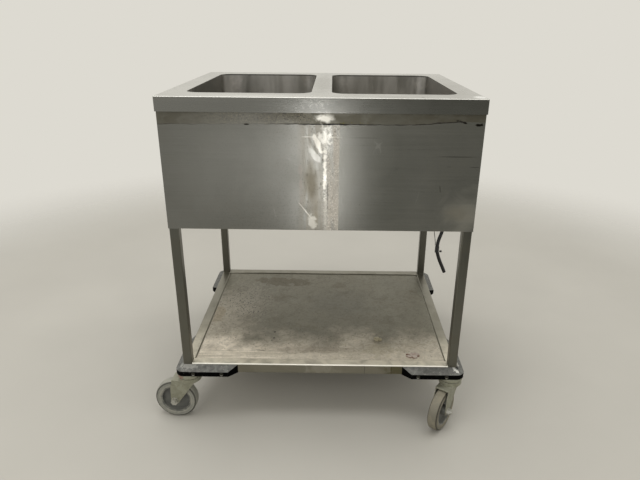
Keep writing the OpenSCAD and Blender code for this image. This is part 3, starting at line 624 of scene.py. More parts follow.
@dataclass(frozen=True)
class Mark:
    """One mark, such as a stain, smear, scratch, painted highlight or painted shade: its middle and half
    lengths in metres, and its turn in degrees.
    """

    middle: Point
    reach: Point
    tint: Colour
    amount: float
    ragged: float = 0.4
    soft: float = 0.5
    scale: float = 60.0
    turn: Point = (0.0, 0.0, 0.0)
    rougher: float = 0.0

    def lay_on(self, surface: Surface) -> None:
        """Lays the mark on a surface."""
        turn = tuple(math.radians(angle) for angle in self.turn)
        mask = surface.effect(
            "mark", middle=self.middle, reach=self.reach, turn=turn,
            ragged=self.ragged, soft=self.soft, scale=self.scale,
        )
        surface.lay(mask, self.tint, self.amount, self.rougher)


@dataclass(frozen=True)
class Finish:
    """What every finish has: a clean colour, the colour of its soil, a roughness and its marks."""

    name: str
    tone: Colour
    soil: Colour
    roughness: float
    _: KW_ONLY
    metal: float = 1.0
    coat: float = 0.0
    gloss: float = 0.5
    marks: tuple[Mark, ...] = ()
    last_marks: tuple[Mark, ...] = ()

    def layers(self, s: Surface) -> None:
        """Lays what every surface of this kind has."""

    def details(self, s: Surface) -> None:
        """Lays what only this surface has, over the first marks."""

    def material(self, effects: Effects) -> bpy.types.Material:
        """The finished material."""
        s = Surface(effects, self.name, self.tone, self.roughness, self.metal)
        self.layers(s)
        for mark in self.marks:
            mark.lay_on(s)
        self.details(s)
        for mark in self.last_marks:
            mark.lay_on(s)
        return s.finish(self.coat, self.gloss)


@dataclass(frozen=True)
class Steel(Finish):
    """Stainless steel sheet or tube, brushed, stained and scratched."""

    grain: Grain
    clouds: float = 0.1
    stained: float = 0.25
    specks: float = 0.1
    dust: float = 0.0
    relief: float = 0.03
    waviness: float = 0.5

    def layers(self, s: Surface) -> None:
        """Lays what every steel surface has."""
        brushed = s.effect("grain", cycles=self.grain.value)
        s.shade(s.effect("blotch", scale=4.0, cover=0.5, edge=0.6, warp=0.8), self.clouds)
        s.shade(brushed, 0.035)
        s.vary(brushed, 0.03)
        stains = s.effect("blotch", scale=11.0, cover=0.42, edge=0.22, warp=1.2)
        s.lay(stains, self.soil, self.stained, 0.03, self.stained * 0.3)
        spots = s.effect("specks", scale=160.0, size=0.26, cover=self.specks)
        s.lay(spots, (60, 54, 44), 0.35, 0.1, 0.2)
        lines = s.effect("scratches", scale=7.0, width=0.012, cover=0.35)
        s.lay(lines, (205, 204, 198), 0.12, 0.06)
        if self.dust:
            lying = s.effect("dust", scale=45.0, amount=self.dust)
            s.lay(lying, (142, 136, 120), 0.8, 0.25, 0.7)
        s.raise_by(brushed, self.relief)
        if self.waviness:
            s.raise_by(s.noise(s.place, 3.2, 1.0), self.waviness)
        s.wear((214, 213, 208), 0.8, 0.5)


@dataclass(frozen=True)
class FrontSteel(Steel):
    """The front panel: a line of old sealant below a stained band, and dried runs at the middle, which are
    partly a painted highlight.
    """

    line_z: float = 0.8834
    line_rise: tuple[Point, ...] = ((0.0026, -0.4, -0.1), (0.0086, 0.2, 0.35))
    run_left: float = -0.051
    run_right: float = 0.046

    def over_line(self, s: Surface, x: Socket, z: Socket) -> Socket:
        """How far a point is above the line of old sealant, which wanders and rises to the right."""
        level: object = self.line_z
        for rise, start, end in self.line_rise:
            level = s.scaled(s.step(x, start, end), rise, level)
        wander = s.times(s.noise(s.drawn(1.0, 0.0, 0.0), 40.0, 4.0), 0.0024)
        return s.minus(s.minus(z, level), s.minus(wander, 0.0012))

    def band(self, s: Surface, x: Socket, over: Socket) -> None:
        """The stained band above the line: a dull film, dark dots at the left, moss at the right."""
        band = s.step(over, -0.0004, 0.0006)
        s.lay(band, (91, 86, 68), 0.55, 0.08, 0.2)
        clouds = s.effect("blotch", s.drawn(0.5, 1.0, 1.0), scale=60.0, cover=0.5, edge=0.3)
        s.lay(s.times(band, clouds), (72, 66, 48), 0.45, 0.06, 0.2)
        left = s.between(x, -0.35, -0.2, -0.06, 0.01)
        dots = s.effect("specks", scale=260.0, size=0.55, cover=0.5)
        high = s.between(over, 0.004, 0.012, 0.024, 0.03)
        uneven = s.noise(s.drawn(1.0, 0.0, 0.0), 22.0, 3.0)
        thickly = s.times(left, s.scaled(high, 0.7, 0.15))
        s.lay(s.times(thickly, uneven), (70, 62, 40), 0.6, 0.1, 0.3)
        s.lay(s.times(dots, thickly), (32, 27, 18), 0.95, 0.2, 0.7)
        crumbs = s.effect("specks", scale=420.0, size=0.6, cover=0.5)
        s.lay(s.times(crumbs, band, left), (170, 162, 134), 0.28)
        near = s.times(band, s.fade(over, 0.003, 0.008))
        moss = s.between(x, 0.03, 0.06, 0.1, 0.12)
        s.lay(s.times(dots, near, moss), (98, 92, 22), 0.9, 0.2, 0.8)

    def runs(self, s: Surface, x: Socket, over: Socket) -> None:
        """The dried runs at the middle: pale scale with pits, streaks and a sharp right edge; the pale
        film is partly a painted highlight of the glare.
        """
        low, high = self.run_left, self.run_right
        column = s.between(x, low - 0.012, low + 0.012, high - 0.0015, high + 0.0015)
        column = s.times(column, s.fade(over, -0.003, 0.0))
        right = s.times(column, s.step(x, -0.002, 0.022))
        film = s.effect("blotch", s.drawn(1.0, 1.0, 0.1), scale=70.0, cover=0.6, edge=0.3)
        crumbs = s.effect("specks", scale=330.0, size=0.6, cover=0.6)
        pits = s.effect("specks", scale=240.0, size=0.5, cover=0.35)
        # Partly a painted highlight: the column is laid paler, most of all on its right side; the pits are
        # real.
        s.lay(s.times(column, film), (150, 140, 122), 0.3, 0.06, 0.25)
        s.lay(s.times(right, film), (206, 198, 186), 0.5, 0.06, 0.3)
        s.lay(s.times(right, crumbs), (232, 226, 216), 0.5, 0.1, 0.4)
        s.lay(s.times(column, pits), (84, 76, 64), 0.35, 0.1, 0.3)
        s.raise_by(s.times(right, crumbs), 0.08)

    def details(self, s: Surface) -> None:
        """Lays the band, the runs, and the line of sealant over them."""
        x, _, z = s.split(s.place)
        over = self.over_line(s, x, z)
        self.band(s, x, over)
        self.runs(s, x, over)
        thick = s.noise(s.drawn(1.0, 0.0, 0.0), 30.0, 3.0)
        heavy = s.scaled(s.step(x, -0.16, -0.02), 0.6, 0.4)
        wide = s.times(s.scaled(thick, 0.0032, 0.0004), heavy)
        line = s.fade(s.math("ABSOLUTE", over), s.times(wide, 0.3), wide)
        line = s.times(line, s.fade(x, 0.35, 0.354))
        s.lay(line, (30, 24, 13), 1.0, 0.3, 1.0)
        s.raise_by(line, 0.25)


@dataclass(frozen=True)
class DeckSteel(Steel):
    """The deck: painted shade makes its upright faces darker, most of all on the right, and its apron
    carries dried splashes at the middle.
    """

    def details(self, s: Surface) -> None:
        """Lays the painted shade on the sides and the splashes."""
        x, y, z = s.split(s.place)
        # Painted shade: the upright faces are laid darker, and darker still towards the right.
        upright = s.fade(s.upward(), 0.2, 0.7)
        s.lay(upright, (98, 97, 92), 0.62)
        s.lay(s.times(upright, s.step(x, 0.05, 0.3)), (70, 70, 65), 0.4)
        apron = s.times(s.fade(y, -0.3335, -0.3315), s.fade(z, 0.947, 0.949))
        here = s.times(apron, s.between(x, -0.16, -0.03, 0.05, 0.13))
        crumbs = s.effect("specks", scale=300.0, size=0.6, cover=0.55)
        runs = s.effect("blotch", scale=70.0, cover=0.5, edge=0.3)
        s.lay(s.times(here, crumbs), (206, 206, 204), 0.15, 0.05, 0.1)
        s.lay(s.times(here, runs), (96, 96, 94), 0.25, 0.05, 0.1)


@dataclass(frozen=True)
class WellSteel(Steel):
    """The wells: drawn steel with a dry film of lime on the far walls, a painted shadow along their top,
    and a tide line.
    """

    def details(self, s: Surface) -> None:
        """Lays the film, the painted shadow along the top of the far walls and the tide line."""
        _, y, z = s.split(s.place)
        film = s.effect("blotch", s.drawn(1.0, 1.0, 0.2), scale=22.0, cover=0.6, edge=0.4)
        far = s.step(y, 0.243, 0.2545)
        s.lay(s.times(far, film), (214, 210, 205), 0.4, 0.05, 0.2)
        # Painted shadow of the deck's rear edge, along the top of the far walls.
        s.lay(s.times(far, s.step(z, 0.9445, 0.9465)), (34, 31, 26), 0.85, 0.2, 0.6)
        tide = s.math("ABSOLUTE", s.minus(z, s.scaled(film, 0.004, 0.838)))
        s.lay(s.fade(tide, 0.0004, 0.0014), (150, 142, 128), 0.35, 0.05, 0.2)


@dataclass(frozen=True)
class ShelfSteel(Steel):
    """The shelf panel: dried spills, soil, grit at the left, and painted light that makes the front edge
    and the left pale.
    """

    def details(self, s: Surface) -> None:
        """Lays the film, the painted light at the front and left, the soil, the grit and the front strip,
        which is painted light too.
        """
        x, y, _ = s.split(s.place)
        film = s.effect("blotch", scale=6.0, cover=0.5, edge=0.4, warp=1.0)
        s.lay(film, (120, 114, 98), 0.25, 0.05, 0.15)
        # Painted light: the front edge and the left are laid paler, less so towards the right; the mottled
        # and dry layers within it break it up.
        torn = s.times(s.noise(s.place, 9.0, 5.0), 0.12)
        front = s.fade(s.math("ADD", y, torn), -0.2, -0.04)
        side = s.fade(s.math("ADD", x, torn), -0.3, -0.1)
        near = s.times(side, 0.3, s.fade(y, -0.05, 0.2))
        pale = s.math("MAXIMUM", front, near)
        thin = s.scaled(s.step(x, -0.3, 0.05), -0.45, 1.0)
        s.lay(s.times(pale, thin), (238, 227, 209), 0.95, 0.1, 0.6)
        mottled = s.effect("blotch", scale=26.0, cover=0.45, edge=0.3, warp=1.0)
        s.lay(s.times(pale, mottled), (146, 136, 118), 0.4, 0.05, 0.1)
        rims = s.effect("blotch", scale=17.0, cover=0.3, edge=0.06, warp=1.6)
        s.lay(rims, (98, 92, 78), 0.16, 0.06, 0.1)
        soil = s.effect("blotch", scale=75.0, cover=0.42, edge=0.16, warp=1.3)
        s.lay(soil, (92, 87, 70), 0.26, 0.05, 0.05)
        dry = s.effect("blotch", scale=48.0, cover=0.32, edge=0.1, warp=1.5)
        s.lay(s.times(dry, pale), (212, 202, 180), 0.3, 0.05, 0.05)
        fallen = s.effect("specks", scale=130.0, size=0.32, cover=0.2)
        s.lay(fallen, (66, 60, 48), 0.5, 0.05, 0.1)
        grit = s.effect("specks", scale=190.0, size=0.5, cover=0.6)
        reach = (0.14, 0.19, 0.1)
        left = s.effect("mark", middle=(-0.27, 0.06, SHELF_Z), reach=reach, ragged=0.9, soft=0.9)
        s.lay(left, (168, 162, 148), 0.35, 0.05, 0.2)
        s.lay(s.times(grit, left), (44, 41, 34), 0.9, 0.1, 0.4)
        # Painted light on the front strip, paler towards the left; the streaks laid over it are real.
        strip = s.times(s.fade(y, -0.252, -0.247), s.scaled(s.fade(x, -0.3, 0.1), 0.6, 0.4))
        streaks = s.effect("blotch", s.drawn(0.05, 1.0, 1.0), scale=170.0, cover=0.45, edge=0.3)
        s.lay(strip, (222, 214, 196), 0.42, 0.05, 0.2)
        s.lay(s.times(strip, streaks), (118, 110, 88), 0.4, 0.1, 0.2)


@dataclass(frozen=True)
class RailSteel(Steel):
    """The shelf's rails: painted light makes their tops paler towards the left and the front, and a
    painted highlight lies on the front lip.
    """

    def details(self, s: Surface) -> None:
        """Lays the painted light on the tops and the painted highlight on the lip."""
        x, y, z = s.split(s.place)
        # Painted light: the rails' upward faces paler towards the left and the front.
        lying = s.step(s.upward(), 0.96, 0.995)
        left = s.times(s.fade(x, -0.35, 0.1), s.fade(y, -0.3, -0.02))
        pale = s.times(lying, s.math("MAXIMUM", left, s.fade(y, -0.3, -0.1)))
        cloud = s.effect("blotch", scale=30.0, cover=0.6, edge=0.4)
        s.lay(s.times(pale, s.scaled(cloud, 0.5, 0.5)), (232, 224, 204), 0.75, 0.1, 0.5)
        # Painted highlight along the front lip.
        lip = s.times(s.step(z, SHELF_Z, 0.1905), s.fade(y, -0.3205, -0.3185))
        s.lay(lip, (255, 252, 240), 0.9, 0.0, 0.6)


@dataclass(frozen=True)
class Plated(Finish):
    """Zinc, brass, copper or painted metal: cast or pressed, with dirt and rubbed edges."""

    dirty: float = 0.4
    dust: float = 0.0
    rubbed: Colour = (200, 198, 190)

    def layers(self, s: Surface) -> None:
        """Lays what every plated surface has."""
        cast = s.effect("grain", cycles=Grain.CAST.value)
        s.shade(cast, 0.1)
        s.vary(cast, 0.08)
        film = s.effect("blotch", scale=38.0, cover=0.5, edge=0.35, warp=1.0)
        s.lay(film, self.soil, self.dirty, 0.15, self.dirty * 0.6)
        s.lay(s.effect("specks", scale=380.0, size=0.5, cover=0.25), self.soil, 0.6, 0.1, 0.3)
        if self.dust:
            s.lay(s.effect("dust", amount=self.dust), (138, 134, 120), 0.8, 0.2, 0.7)
        s.wear(self.rubbed, 0.9, 0.6)
        s.raise_by(cast, 0.02)


@dataclass(frozen=True)
class Moulded(Finish):
    """Rubber or plastic, with fine grain, dust, scuffs, worn edges, and painted shade on marked faces."""

    dust: float = 0.3
    scuffs: float = 0.2
    grain: float = 0.03
    _: KW_ONLY
    metal: float = 0.0

    def layers(self, s: Surface) -> None:
        """Lays what every moulded surface has."""
        fine = s.effect("grain", cycles=Grain.MOULDED.value)
        s.shade(fine, 0.12)
        s.vary(fine, 0.06)
        rubbed = s.effect("blotch", scale=30.0, cover=0.4, edge=0.35, warp=1.0)
        s.lay(rubbed, self.soil, self.scuffs, 0.1)
        s.lay(s.effect("dust", scale=90.0, amount=self.dust), self.soil, 1.0, 0.15)
        crumbs = s.effect("specks", scale=330.0, size=0.5, cover=0.12)
        up = s.effect("dust", scale=30.0, amount=min(1.0, self.dust * 1.5))
        s.lay(s.times(crumbs, up), (190, 187, 178), 0.5)
        s.wear(self.soil, 0.7, 0.6)
        # Painted shade on the faces marked for it: the tyres' outer shoulders.
        s.lay(s.marked("painted_shade_edge"), (26, 25, 18), 0.75, 0.1)
        s.raise_by(fine, self.grain)


WHITE_FILM = (206, 202, 192)
DARK_LINE = (40, 37, 31)
BROWN = (84, 72, 52)
STAIN = (96, 90, 72)
SCRAPE = (232, 231, 224)
# How far a mark on a panel reaches through it.
THROUGH = 0.05


def on_front(
    x: float, z: float, rx: float, rz: float, *look: object, turn: float = 0.0, rougher: float = 0.0
) -> Mark:
    """A mark on the front panel: its middle, half lengths, and tint, amount, ragged, soft and scale."""
    middle, reach = (x, FRONT_Y, z), (rx, THROUGH, rz)
    return Mark(middle, reach, *look, turn=(0.0, turn, 0.0), rougher=rougher)


def on_shelf(
    x: float, y: float, rx: float, ry: float, *look: object, turn: float = 0.0, rougher: float = 0.0
) -> Mark:
    """A mark on the shelf panel: its middle, half lengths, and tint, amount, ragged, soft and scale."""
    middle, reach = (x, y, SHELF_Z), (rx, ry, THROUGH)
    return Mark(middle, reach, *look, turn=(0.0, 0.0, turn), rougher=rougher)


FRONT_STAINS_AND_PAINTED_LIGHT = (
    # Painted shade over the right of the panel.
    on_front(0.165, 0.74, 0.1, 0.3, (112, 112, 104), 0.5, 0.3, 1.0, 6.0),
    # Painted reflection: the left of the panel laid paler.
    on_front(-0.2, 0.82, 0.24, 0.24, (190, 189, 184), 0.35, 0.3, 1.0, 6.0),
    on_front(-0.06, 0.76, 0.07, 0.08, (104, 103, 96), 0.35, 0.3, 1.0, 20.0),
    on_front(0.365, 0.66, 0.08, 0.08, (222, 217, 206), 0.45, 0.6, 1.0, 20.0),
    on_front(0.012, 0.855, 0.022, 0.032, (226, 223, 214), 0.6, 1.0, 0.8, 110.0),
    on_front(0.0105, 0.775, 0.0055, 0.11, WHITE_FILM, 0.85, 1.2, 0.7, 130.0),
    on_front(0.0125, 0.655, 0.006, 0.06, WHITE_FILM, 0.4, 1.2, 0.8, 110.0),
    on_front(0.0185, 0.705, 0.0013, 0.042, DARK_LINE, 0.8, 0.9, 0.5, 90.0),
    on_front(-0.008, 0.841, 0.0075, 0.03, WHITE_FILM, 0.85, 0.6, 0.4, turn=22.0),
    on_front(-0.016, 0.81, 0.0095, 0.028, (186, 184, 178), 0.6, 0.6, 0.4, turn=34.0),
    on_front(-0.022, 0.838, 0.004, 0.034, (96, 92, 84), 0.4, 0.5, turn=30.0),
    on_front(-0.024, 0.73, 0.02, 0.075, (124, 116, 98), 0.6, 0.5, 0.8, 25.0, rougher=0.1),
    on_front(-0.012, 0.655, 0.012, 0.05, (124, 116, 98), 0.5, 0.6, 0.8, 30.0),
    on_front(-0.05, 0.735, 0.006, 0.06, (150, 136, 128), 0.25, 1.2, 0.8),
    on_front(-0.0195, 0.632, 0.0125, 0.024, WHITE_FILM, 0.7, 0.9, 0.5, turn=15.0),
    on_front(-0.037, 0.662, 0.034, 0.0018, WHITE_FILM, 0.6, 0.4, turn=-52.0),
    on_front(-0.032, 0.8552, 0.016, 0.0012, WHITE_FILM, 0.7, 0.3),
    on_front(0.026, 0.8552, 0.028, 0.0014, WHITE_FILM, 0.8, 0.5),
    on_front(0.11, 0.854, 0.045, 0.0009, DARK_LINE, 0.4, 0.2),
    on_front(0.336, 0.8092, 0.062, 0.001, DARK_LINE, 0.75, 0.2),
    on_front(0.384, 0.7832, 0.014, 0.0008, DARK_LINE, 0.6, 0.2),
    on_front(0.32, 0.7838, 0.008, 0.0008, DARK_LINE, 0.4, 0.2),
    on_front(0.3025, 0.7266, 0.0011, 0.012, DARK_LINE, 0.7, 0.2, turn=8.0),
    on_front(0.35, 0.66, 0.045, 0.045, (130, 120, 100), 0.3, 0.9, 0.9, 20.0),
    on_front(0.34, 0.895, 0.014, 0.003, DARK_LINE, 1.0, 1.2, 0.5, 150.0, turn=-14.0),
    on_front(0.385, 0.888, 0.01, 0.003, DARK_LINE, 1.0, 1.4, 0.5, 150.0),
    on_front(-0.18, 0.8845, 0.01, 0.0022, DARK_LINE, 1.0, 1.2, 0.5, 150.0),
    # Painted highlight where the glare crosses the stained band.
    on_front(0.012, 0.9, 0.03, 0.0125, (250, 246, 236), 0.9, 0.6, 0.6),
    on_front(0.022, 0.8862, 0.03, 0.0024, (14, 12, 8), 1.0, 0.8, 0.5, 150.0),
)
SHELF_STAINS_AND_PAINTED_SHADE = (
    on_shelf(-0.15, 0.225, 0.11, 0.04, BROWN, 0.35, 1.1, 0.3, 30.0, rougher=0.1),
    on_shelf(0.055, 0.2, 0.03, 0.03, BROWN, 0.3, 1.1, 0.3, 40.0),
    on_shelf(-0.147, 0.09, 0.035, 0.035, BROWN, 0.22, 0.9, 0.4, 40.0),
    on_shelf(-0.36, -0.03, 0.035, 0.06, (128, 112, 80), 0.35, 0.9, 0.4, 30.0),
    # Painted shade over the middle of the shelf, under the body.
    on_shelf(0.065, 0.03, 0.15, 0.16, (96, 94, 84), 0.4, 0.8, 0.9, 12.0),
    on_shelf(-0.04, -0.243, 0.13, 0.022, BROWN, 0.3, 0.8, 0.3, 25.0),
    on_shelf(-0.1485, -0.142, 0.004, 0.006, DARK_LINE, 0.85),
    on_shelf(-0.148, -0.177, 0.004, 0.005, DARK_LINE, 0.8),
    on_shelf(-0.154, -0.19, 0.003, 0.004, DARK_LINE, 0.7),
    on_shelf(0.183, -0.235, 0.06, 0.04, (150, 142, 118), 0.4, 1.1, 0.5, 50.0),
    on_shelf(0.333, 0.155, 0.022, 0.014, BROWN, 0.35, 0.7, turn=40.0),
    on_shelf(0.108, -0.16, 0.02, 0.0015, DARK_LINE, 0.6, turn=20.0),
    on_shelf(-0.178, -0.247, 0.016, 0.003, DARK_LINE, 0.6, 0.8, turn=8.0),
)
RAIL_MARKS = (
    Mark((0.13, -0.323, 0.177), (0.001, 0.004, 0.03), DARK_LINE, 0.6, 0.2),
    Mark((0.208, -0.323, 0.177), (0.0012, 0.004, 0.03), DARK_LINE, 0.7, 0.2),
    Mark((0.24, -0.323, 0.177), (0.07, 0.004, 0.03), (82, 78, 48), 0.7, 0.6, 0.7),
    Mark((0.0, -0.323, 0.177), (0.06, 0.004, 0.03), WHITE_FILM, 0.2, 0.9, 0.9),
)
WELL_PAINTED_LIGHT = (
    # Painted shade on the walls that face the right, and on the right well's far wall.
    Mark((-0.346, 0.0, 0.9), (0.035, 0.3, 0.15), (96, 95, 85), 0.8, 0.3, 0.7),
    Mark((0.19, 0.26, 0.9), (0.22, 0.06, 0.15), (140, 137, 128), 0.4, 0.3, 0.9),
    Mark((0.026, 0.1, 0.9), (0.03, 0.2, 0.15), (110, 108, 98), 0.6, 0.3, 0.7),
    # Painted highlights on the rounded far corners of both wells.
    Mark((-0.302, 0.245, 0.92), (0.03, 0.05, 0.05), (240, 232, 228), 0.6, 0.5, 0.9),
    Mark((-0.052, 0.245, 0.915), (0.026, 0.05, 0.045), (240, 236, 230), 0.5, 0.4, 0.9),
    Mark((0.062, 0.245, 0.92), (0.028, 0.05, 0.045), (240, 236, 230), 0.45, 0.5, 0.9),
    Mark((0.318, 0.24, 0.92), (0.03, 0.05, 0.045), (240, 236, 230), 0.7, 0.4, 0.9),
)
DECK_STAINS_AND_PAINTED_LIGHT = (
    Mark((-0.3915, -0.166, 0.95), (0.006, 0.004, 0.02), DARK_LINE, 0.7),
    # Painted shade over the right half of the deck top.
    Mark((0.3, -0.1, 0.95), (0.32, 0.5, 0.03), (150, 147, 138), 0.45, 0.6, 0.9, 18.0),
    # Painted highlight along the front strip at the left.
    Mark((-0.16, -0.31, 0.95), (0.22, 0.03, 0.03), (240, 239, 234), 0.45, 0.2, 0.9),
    # A painted glint at the right front corner.
    Mark((0.386, -0.298, 0.95), (0.022, 0.03, 0.004), (255, 255, 252), 0.9, 0.15, 0.6),
    Mark((0.245, -0.31, 0.95), (0.005, 0.006, 0.004), (70, 66, 54), 0.8, 0.6),
    Mark((0.0, 0.0, 0.95), (0.04, 0.3, 0.03), (160, 158, 150), 0.6, 0.4, 0.7),
)
BUMPER_MARKS = (
    Mark((0.396, -0.333, 0.19), (0.012, 0.004, 0.02), SCRAPE, 0.95, 1.5, 0.5, 220.0, (0.0, 0.0, 35.0)),
    Mark((0.389, -0.33, 0.19), (0.005, 0.006, 0.02), SCRAPE, 0.8, 1.5, 0.5, 220.0),
    Mark((0.398, -0.322, 0.19), (0.006, 0.008, 0.02), (16, 16, 16), 0.9, 1.2, 0.5, 160.0),
    Mark((0.403, -0.3, 0.19), (0.006, 0.014, 0.02), (196, 194, 186), 0.7, 1.3, 0.5, 160.0),
    Mark((0.34, -0.33, 0.19), (0.09, 0.03, 0.02), (78, 78, 75), 0.5, 0.6, 0.8, 40.0),
    Mark((-0.38, -0.325, 0.19), (0.03, 0.02, 0.02), (190, 189, 182), 0.4, 1.3, 0.5, 120.0),
)
CASTOR_SMEAR_AND_PAINTED_HIGHLIGHT = (
    Mark((-0.409, -0.338, 0.153), (0.012, 0.03, 0.012), (158, 112, 104), 0.6, 1.5, 0.5, 110.0),
    # Painted highlight on the front left swivel head.
    Mark((-0.425, -0.32, 0.153), (0.016, 0.03, 0.014), (206, 208, 182), 0.6, 1.0, 0.5, 60.0),
)
# A painted highlight on the lower rims of the screw heads.
SCREW_PAINTED_HIGHLIGHT = (Mark((0.0, 0.0, 0.1648), (2.0, 2.0, 0.0022), (226, 225, 216), 0.95, 0.1),)

# What the body's outer panels share, and what the shelf's rails share.
CLEAN = {"clouds": 0.04, "stained": 0.07, "specks": 0.012}
TUBE = {"clouds": 0.08, "stained": 0.25, "specks": 0.15, "waviness": 0.0}
FINISHES = (
    DeckSteel(
        "top_deck", (196, 195, 189), STAIN, 0.27, Grain.ALONG_X, clouds=0.05, stained=0.08,
        specks=0.012, relief=0.012, waviness=0.2, marks=DECK_STAINS_AND_PAINTED_LIGHT,
    ),
    WellSteel(
        "well_steel", (169, 167, 161), (140, 128, 114), 0.34, Grain.CAST, clouds=0.08, stained=0.2,
        specks=0.03, relief=0.015, waviness=0.6, marks=WELL_PAINTED_LIGHT,
    ),
    Steel("body_steel", (172, 171, 165), STAIN, 0.3, Grain.ALONG_X, **CLEAN, waviness=0.3),
    Steel(
        "dull_sheet", (158, 157, 151), STAIN, 0.55, Grain.ALONG_X, clouds=0.06, stained=0.15,
        specks=0.03, waviness=0.3,
    ),
    Steel("end_sheet", (172, 171, 165), STAIN, 0.3, Grain.ALONG_Y, **CLEAN, waviness=0.3),
    Steel("plain_steel", (150, 149, 143), STAIN, 0.34, Grain.ALONG_X, clouds=0.08, stained=0.2),
    Steel(
        "leg_steel", (106, 105, 97), STAIN, 0.34, Grain.ALONG_Z, clouds=0.08, stained=0.15,
        waviness=0.0,
    ),
    RailSteel("rail_steel", (135, 132, 120), STAIN, 0.34, Grain.ALONG_X, **TUBE, marks=RAIL_MARKS),
    RailSteel("side_rail", (135, 132, 120), STAIN, 0.34, Grain.ALONG_Y, **TUBE),
    ShelfSteel(
        "shelf_steel", (116, 114, 101), (122, 116, 98), 0.36, Grain.ALONG_X, metal=0.8, stained=0.2,
        dust=0.2, waviness=0.8, last_marks=SHELF_STAINS_AND_PAINTED_SHADE,
    ),
    Moulded(
        "bumper_rubber", (4, 4, 4), (140, 140, 136), 0.55, 0.85, 0.004, gloss=0.02,
        marks=BUMPER_MARKS,
    ),
    Plated(
        "screw_zinc", (72, 71, 64), (40, 37, 30), 0.4, rubbed=(120, 118, 108), marks=SCREW_PAINTED_HIGHLIGHT
    ),
    Plated("element_sheath", (92, 84, 76), (56, 44, 36), 0.5),
    Moulded("stat_plastic", (214, 208, 188), (160, 152, 130), 0.45, 0.2, 0.1),
    Moulded("black_plastic", (34, 34, 35), (110, 108, 102), 0.38, 0.25, 0.08),
    Moulded("lamp_lens", (226, 128, 38), (170, 120, 70), 0.16, 0.1, 0.08, 0.0, coat=0.6),
    Moulded("wire_cover", (52, 74, 130), (100, 100, 100), 0.4, 0.2, 0.1),
    Plated("pipe_copper", (196, 128, 92), (96, 66, 46), 0.34, rubbed=(224, 160, 120)),
    Plated("valve_brass", (190, 168, 112), (96, 82, 52), 0.34, rubbed=(222, 204, 150)),
    Plated("ball_chrome", (206, 206, 206), (120, 118, 112), 0.14, dirty=0.15),
    Moulded("lever_red", (168, 34, 28), (120, 80, 70), 0.35, 0.2, 0.15, 0.02, coat=0.3),
    Moulded("rocker_green", (28, 118, 52), (90, 130, 96), 0.25, 0.1, 0.08, 0.0, coat=0.4),
    Moulded("cord_rubber", (20, 20, 21), (84, 82, 78), 0.42, 0.2, 0.1),
    Moulded("hanger_coat", (40, 38, 34), (90, 86, 76), 0.5, 0.2, 0.15),
    Plated(
        "castor_zinc", (161, 161, 145), (112, 108, 86), 0.45, 0.4, 0.4, metal=0.7,
        marks=CASTOR_SMEAR_AND_PAINTED_HIGHLIGHT,
    ),
    Moulded("wheel_disc", (92, 93, 90), (168, 166, 154), 0.5, 0.2, 0.15, 0.06),
    Moulded("tyre_rubber", (136, 136, 128), (176, 173, 160), 0.62, 0.3, 0.35, 0.06),
    Moulded("pedal_black", (38, 38, 38), (116, 112, 102), 0.5, 0.5, 0.2),
    FrontSteel(
        "front_sheet", (137, 136, 130), STAIN, 0.3, Grain.ALONG_X, **CLEAN, waviness=0.25,
        last_marks=FRONT_STAINS_AND_PAINTED_LIGHT,
    ),
    Plated("axle_zinc", (200, 199, 192), (92, 88, 74), 0.28, dirty=0.25, dust=0.2),
    Moulded("tyre_pale", (117, 113, 100), (160, 152, 132), 0.62, 0.3, 0.4, 0.06),
    Moulded("shelf_crust", (104, 70, 50), (214, 206, 196), 0.8, 0.6, 0.5, 0.3),
    Moulded("shelf_crumb", (156, 148, 124), (190, 184, 164), 0.8, 0.4, 0.4, 0.3),
    Moulded("paint_white", (226, 224, 216), (170, 166, 156), 0.45, 0.1, 0.1),
    Moulded("paint_black", (24, 24, 24), (90, 90, 88), 0.45, 0.1, 0.1),
)


